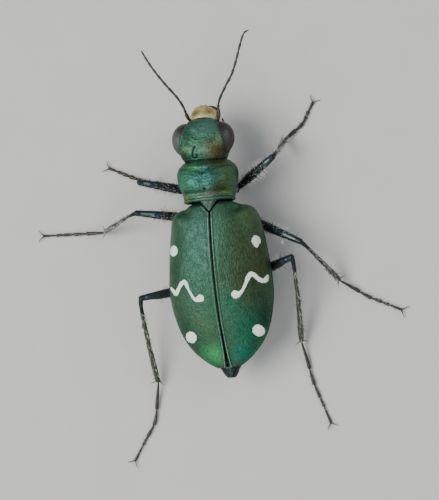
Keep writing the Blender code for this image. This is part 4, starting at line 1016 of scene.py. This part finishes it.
def buildLeg(leg):
    look = legShape
    word = "Left" if leg.endswith("Left") else "Right"
    pair = leg.removesuffix(word)
    node = "_" + pair + "_" + word.lower()
    title = leg[0].upper() + leg[1:]
    hip, coxa = (np.array(look[key][pair]) * [sides[word], 1, 1] for key in ("hip", "coxa"))
    knee, ankle, foot, toe = (np.array(place) for place in stance[leg])
    thigh, shin, onward = unit(knee - hip), unit(ankle - knee), unit(foot - ankle)

    pot = newPot()                        # hip piece with its trochanter
    rows = ball(coxa, look["coxaRadii"][pair], 40, 48)
    rows = rows + unit(rows - coxa) * (0.012 * cloud(rows, 0.2, 51))[..., None]
    pourTube(pot, rows)
    legSkins[leg] = {"coxa": rows}
    t = np.linspace(0, 1, 24)
    line = pathAt([coxa * 0.5 + hip * 0.5, hip, hip + thigh * 0.22], t)
    radii = look["trochanter"] * (0.75 + 0.25 * np.sin(t * math.pi))
    pourTube(pot, limb(line, radii, 24), groove=hill(t, 1.0, 0.06))
    makePiece("coxa" + title, pot, legFinish, ["coxa" + node])

    t = np.linspace(0, 1, 90)             # thigh, with a hollow for the shin below its end
    start = hip + thigh * 0.14
    bow = unit(np.cross(np.cross(thigh, up), thigh))
    line = start + np.outer(t, knee + thigh * 0.05 - start) + np.outer(np.sin(t * math.pi) * 0.04, bow)
    rows = limb(line, curveAt(look["femur"][pair], t), 40, 0.92)
    radial = unit(rows - line[:, None])
    # the hollow under the thigh's end is darkened through the groove mark, as painted shade
    under = softStep(0.55, 0.95, radial @ shin) * softStep(0.72, 0.9, t)[:, None]
    rows = rows + radial * (0.005 * cloud(rows, 0.09, 52) - 0.09 * under)[..., None]
    rows[-3:] = line[-3:, None] + (rows[-3:] - line[-3:, None]) * np.array([0.93, 0.75, 0.45])[:, None, None]
    # the top of the thigh near its end gets a pale painted highlight, ringed by a painted bluish reflection
    top = radial @ bow
    first = look["paintedGlintFrom"][pair]
    cool = softStep(0.3, 0.75, top) * plateau(t, first - 0.12, first, 0.92, 1.0)[:, None]
    sheen = softStep(0.88, 0.98, top) * plateau(t, first, first + 0.06, 0.88, 0.94)[:, None]
    tubePiece("femur" + title, rows, legFinish, "leg", "femur" + node, groove=under, cool=cool, sheen=sheen)
    legSkins[leg]["femur"] = rows

    t = np.linspace(0, 1, 110)            # shin: ridged lengthwise, with two spurs at its end
    fore = np.cross(unit(np.cross(shin, thigh)), shin)
    bow = 0.05 * (np.sin(t * math.pi) - hill(t, 0.0, 0.06))
    line = knee + np.outer(t, ankle - knee) + np.outer(bow, fore)
    ridges = 0.08 * np.cos(math.pi * np.arange(32) / 4) * softStep(0.08, 0.2, t)[:, None]
    rows = limb(line, curveAt(look["tibia"][pair], t)[:, None] * (1 + ridges), 32)
    rows[-2:] = line[-2:, None] + (rows[-2:] - line[-2:, None]) * np.array([0.85, 0.5])[:, None, None]
    pot = newPot()
    grey = softStep(0.35, 0.75, t) if pair == "middle" else softStep(0.05, 0.3, t)
    # the furrows between the shin's ridges are darkened as painted shade
    pourTube(pot, rows, shin=grey, groove=np.clip(-ridges * 6, 0, 0.6))
    legSkins[leg]["tibia"] = rows
    s = np.linspace(0, 1, 10)
    for turn in (-1, 1):
        across = turn * unit(np.cross(onward, up))
        root = ankle - shin * 0.1 + across * 0.05
        tip = ankle - shin * 0.1 + across * look["spur"][pair] * 0.75 + onward * 0.2
        tip[2] = max(tip[2], 0.08)
        line = root + np.outer(s, tip - root) + np.outer(s * (1 - s), up * 0.08)
        pourTube(pot, limb(line, 0.03 * (1 - 0.92 * s ** 1.3), 10), groove=np.full(10, 0.3))
    makePiece("tibia" + title, pot, legFinish, ["tibia" + node])

    route = [(ankle, 0.4), (ankle * 0.55 + foot * 0.45, 0.2), (foot, 0.12), ((foot + toe) / 2, 0.095),
             (toe, 0.085)]                # foot of five joints, coming down to the floor
    flat = np.array([1, 1, 0])
    path = [place * flat + up * height for place, height in route]
    wide = look["footRadius"][pair]
    line, radii, _ = jointedLimb(path, look["footJoints"], lambda k, s: wide * look["footTaper"][k],
                                 18, 0.42, 0.5)
    rows = limb(line, radii, 20)
    rows[..., 2] = np.maximum(rows[..., 2], 0.004)
    pot = newPot()
    pourTube(pot, rows, groove=np.tile(hill(np.linspace(0, 1, 18), 1.0, 0.05), 5))
    legSkins[leg]["tarsus"] = rows
    ahead = unit((toe - foot) * flat)
    shares = np.linspace(0, 1, 22)
    for angle in (-look["clawSpread"], look["clawSpread"]):
        c, s = math.cos(angle), math.sin(angle)
        out = np.array([c * ahead[0] - s * ahead[1], s * ahead[0] + c * ahead[1], 0])
        hook = [(-0.06, 0, 0.09), (0, 0.2, 0.15), (0.03, 0.36, 0.1), (0.06, look["claw"], 0.012)]
        line = pathAt([toe * flat + ahead * a + out * b + up * height for a, b, height in hook], shares)
        pourTube(pot, limb(line, 0.034 * (1 - 0.85 * shares ** 1.2), 12))
    makePiece("tarsus" + title, pot, footFinish, ["tarsus" + node])


for leg in stance:
    buildLeg(leg)
print("stage: legs")


# Bristles: each one is a thin bent cone whose root is sunk in the skin it grows from

hairLook = {
    "ground": (0.62, 0.62, 0.57), "second": (0.72, 0.72, 0.68), "wander": 0.4, "streak": 0.15,
    "light": (0.8, 0.8, 0.78), "dark": (0.4, 0.4, 0.36), "rough": 0.4, "shine": 0.5, "bead": 0.2,
    "relief": 0.001,
}
hairFinish = cuticle("whiteBristle", hairLook)
spineLook = {
    "ground": (0.012, 0.011, 0.01), "second": (0.022, 0.02, 0.017), "wander": 0.4, "streak": 0.15,
    "light": (0.06, 0.055, 0.045), "dark": (0.004, 0.004, 0.004), "rough": 0.3, "shine": 0.5, "bead": 0.2,
    "relief": 0.001,
}
spineFinish = cuticle("blackSpine", spineLook)
patchSize = 0.003                         # share of the unwrap that one bristle takes


def growHairs(pot, skin, look, dice, tile, keep=None):
    # skin is a closed grid of places; tile says where its unwrap lies (left, bottom and size)
    n, m = skin.shape[:2]
    rows = dice.uniform(look["from"] * (n - 1), look["to"] * (n - 1), look["count"])
    if "bands" in look:                   # bristles that stand in rows across a limb
        gap = (n - 1) / look["bands"]
        rows = np.clip(np.round(rows / gap) * gap + dice.normal(0, 0.07, len(rows)) * gap, 0, n - 1.01)
    columns = dice.uniform(0, m, look["count"])
    i, j = rows.astype(int), columns.astype(int) % m
    ahead = unit(np.gradient(skin, axis=0))[i, j] * look.get("way", 1)
    found = [rows, columns, skin[i, j], gridNormals(skin, True)[i, j], ahead]
    if keep:
        chosen = keep(found[2], found[3])
        found = [values[chosen] for values in found]
    rows, columns, root, out, ahead = found
    count = len(root)
    length = look["length"] * dice.uniform(0.6, 1.15, count)[:, None]
    aim = unit(out * look["rise"] + ahead * (1 - look["rise"]) + dice.normal(0, 0.12, (count, 3)))
    droop = ahead * look.get("bend", 0.25) - up * 0.1
    shares = np.array([0.0, 0.35, 0.7])
    line = root[:, None] - out[:, None] * 0.02 + aim[:, None] * (length * shares)[..., None] \
        + droop[:, None] * (length * shares ** 2)[..., None]
    side = unit(np.cross(aim, out + [0.31, 0.17, 0.11]))
    angle = 2 * math.pi * np.arange(3)[:, None] / 3
    ring = side[:, None] * np.cos(angle) + np.cross(aim, side)[:, None] * np.sin(angle)
    radius = look["radius"] * np.array([1.0, 0.85, 0.55])
    rings = line[:, :, None] + ring[:, None] * radius[:, None, None]
    tip = root + (aim + droop) * length
    places = np.concatenate([rings.reshape(count, 9, 3), tip[:, None]], 1)    # ten places a bristle
    places[..., 2] = np.maximum(places[..., 2], 0.003)
    shape = [[0, 2, 1]]
    for k in (0, 3):
        for c, d in ((0, 1), (1, 2), (2, 0)):
            shape += [[k + c, k + d, k + d + 3], [k + c, k + d + 3, k + c + 3]]
    shape += [[6, 7, 9], [7, 8, 9], [8, 6, 9]]
    faces = (np.arange(count)[:, None, None] * 10 + np.array(shape)).reshape(-1, 3).tolist()
    left, bottom, size = tile
    at = np.stack([left + size * rows / n, bottom + size * columns / m], -1)
    around = patchSize / 2 * np.array([[math.cos(a), math.sin(a)] for a in np.linspace(0, 5.6, 9)] + [[0, 0]])
    pour(pot, places.reshape(-1, 3), faces)
    pot["patches"].append((at[:, None] + around).reshape(-1, 2))


def tileOf(number, across=4):             # a place in the unit square for each skin's unwrap
    size = 1 / across
    return number % across * size + 0.01, number // across * size + 0.01, size - 0.02


legHairs = {
    "coxa": {"count": 170, "length": 0.2, "radius": 0.011, "rise": 0.6, "from": 0.1, "to": 0.9},
    "femur": {"count": 150, "length": 0.2, "radius": 0.011, "rise": 0.5, "from": 0.06, "to": 0.78,
              "bend": 0.15, "bands": 26},
    "tibia": {"count": 170, "length": 0.17, "radius": 0.009, "rise": 0.45, "from": 0.15, "to": 0.97},
    "tarsus": {"count": 70, "length": 0.1, "radius": 0.007, "rise": 0.5, "from": 0.03, "to": 0.9},
}
legSpines = {
    "femur": {"count": 16, "length": 0.3, "radius": 0.014, "rise": 0.75, "from": 0.2, "to": 0.9},
    "tibia": {"count": 60, "length": 0.22, "radius": 0.014, "rise": 0.5, "from": 0.12, "to": 0.98},
    "tarsus": {"count": 90, "length": 0.11, "radius": 0.01, "rise": 0.5, "from": 0.05, "to": 0.9},
}
fringe = {"count": 520, "length": 0.34, "radius": 0.011, "rise": 0.9, "from": 0.1, "to": 0.72, "bend": 0.1}
for number, (leg, skins) in enumerate(legSkins.items()):
    for name, looks, finish in (("hairs", legHairs, hairFinish), ("spines", legSpines, spineFinish)):
        dice = np.random.default_rng(100 + number + 10 * (name == "spines"))
        pot = newPot()
        for k, (place, look) in enumerate(looks.items()):
            if name == "spines":
                look = {**look, "bend": 0.1}
            elif place == "femur" and leg.startswith("hind"):
                look = {**look, "count": look["count"] // 4}      # hind thighs are nearly bare
            growHairs(pot, skins[place], look, dice, tileOf(k, 2))
        if name == "hairs":               # longer ones stand out before and behind the thigh
            growHairs(pot, skins["femur"], fringe, dice, tileOf(1, 2),
                      lambda root, out: np.abs(out[:, 2]) < 0.4)
        makePiece(name + leg[0].upper() + leg[1:], pot, finish)

trunkHairs = {
    "thorax": {"count": 900, "length": 0.26, "radius": 0.011, "rise": 0.45, "from": 0.1, "to": 0.98},
    "belly": {"count": 700, "length": 0.2, "radius": 0.01, "rise": 0.3, "from": 0.02, "to": 0.95},
    "shield": {"count": 420, "length": 0.22, "radius": 0.01, "rise": 0.5, "from": 0.06, "to": 0.94,
               "way": -1},
}
dice = np.random.default_rng(7)
pot = newPot()
growHairs(pot, thoraxSkin, trunkHairs["thorax"], dice, tileOf(0, 2),
          lambda root, out: (np.abs(root[:, 0]) > 1.0) & (out[:, 2] < 0.1) & (root[:, 2] < 2.8))
growHairs(pot, bellySkin, trunkHairs["belly"], dice, tileOf(1, 2),
          lambda root, out: (np.abs(out[:, 0]) > 0.35) & (out[:, 2] < 0.0))
growHairs(pot, shieldSkin, trunkHairs["shield"], dice, tileOf(2, 2),
          lambda root, out: (np.abs(out[:, 0]) > 0.4) & (out[:, 2] < -0.1) & (out[:, 2] > -0.9))
makePiece("hairsTrunk", pot, hairFinish)

headHairs = {
    "palp": {"count": 26, "length": 0.16, "radius": 0.007, "rise": 0.6, "from": 0.1, "to": 0.95},
    "cheek": {"count": 500, "length": 0.16, "radius": 0.009, "rise": 0.5, "from": 0.3, "to": 0.95},
    "feeler": {"count": 110, "length": 0.09, "radius": 0.006, "rise": 0.4, "from": 0.05, "to": 0.98},
}
pot = newPot()
for number, (kind, rows) in enumerate(headLimbs):
    growHairs(pot, rows, headHairs[kind], dice, tileOf(number))
growHairs(pot, headSkin, headHairs["cheek"], dice, tileOf(len(headLimbs)),
          lambda root, out: (out[:, 2] < -0.2) & (np.abs(root[:, 0] - 0.1) > 0.3))
makePiece("hairsHead", pot, hairFinish)
print("stage: bristles")


# Floor, light and camera

paper = {"size": 0.3, "ground": (0.6, 0.585, 0.56), "second": (0.66, 0.645, 0.62), "rough": 0.85}


def paleFloor():
    bm = bmesh.new()
    bmesh.ops.create_grid(bm, x_segments=8, y_segments=8, size=paper["size"])
    mesh = bpy.data.meshes.new("floor")
    bm.to_mesh(mesh)
    bm.free()
    floor = bpy.data.objects.new("floor", mesh)
    bpy.context.scene.collection.objects.link(floor)
    material = bpy.data.materials.new("palePaper")
    material.use_nodes = True
    tree = material.node_tree
    inputs = tree.nodes["Principled BSDF"].inputs
    spots = grain(tree, bodyPlace(tree), 3.0, 4.0)
    feed(tree, inputs["Base Color"], tint(tree, spots, paper["ground"], paper["second"]))
    inputs["Roughness"].default_value = paper["rough"]
    mesh.materials.append(material)


lights = {
    "key": {"at": (0.16, 0.0, 0.3), "size": 0.26, "power": 1.05, "tint": (1.0, 0.99, 0.96)},
    "fill": {"at": (-0.22, -0.1, 0.2), "size": 0.2, "power": 0.16, "tint": (0.93, 0.97, 1.0)},
    "back": {"at": (0.05, 0.26, 0.2), "size": 0.18, "power": 0.22, "tint": (1.0, 1.0, 1.0)},
}
room = {"tint": (0.86, 0.93, 1.0, 1.0), "strength": 0.42}


def studioLight():
    for name, look in lights.items():
        lamp = bpy.data.lights.new(name, "AREA")
        lamp.shape, lamp.size, lamp.energy, lamp.color = "DISK", look["size"], look["power"], look["tint"]
        holder = bpy.data.objects.new(name, lamp)
        holder.location = look["at"]
        holder.rotation_euler = (-Vector(look["at"])).to_track_quat("-Z", "Y").to_euler()
        bpy.context.scene.collection.objects.link(holder)
    world = bpy.data.worlds.new("softRoom")
    world.use_nodes = True
    back = world.node_tree.nodes["Background"]
    back.inputs["Color"].default_value = room["tint"]
    back.inputs["Strength"].default_value = room["strength"]
    bpy.context.scene.world = world


shot = {
    "lean": math.radians(14), "tip": math.radians(4), "roll": math.radians(5),   # off straight above
    "distance": 140.0, "target": np.array([0.0, 0.0, 2.5]), "scale": 19.6,       # pixels to a millimetre
    "longSide": 500, "sensor": 36.0,
}


def photoCamera():
    look = shot
    back = unit(np.array([-math.tan(look["lean"]), math.tan(look["tip"]), 1.0]))
    level = np.array([0.0, -1.0, 0.0])
    level = unit(level - back * (level @ back))
    right = np.cross(level, back)
    c, s = math.cos(look["roll"]), math.sin(look["roll"])
    level, right = level * c + right * s, right * c - level * s
    camera = bpy.data.cameras.new("camera")
    camera.sensor_width = look["sensor"]
    camera.lens = look["sensor"] * look["distance"] * look["scale"] / look["longSide"]
    camera.clip_start, camera.clip_end = 0.01, 10.0
    holder = bpy.data.objects.new("camera", camera)
    place = (look["target"] + back * look["distance"] - origin) * mm
    turn = Matrix([[right[k], level[k], back[k]] for k in range(3)])
    holder.matrix_world = Matrix.Translation(place) @ turn.to_4x4()
    bpy.context.scene.collection.objects.link(holder)
    bpy.context.scene.camera = holder


paleFloor()
studioLight()
photoCamera()
print("stage: floor, light and camera")
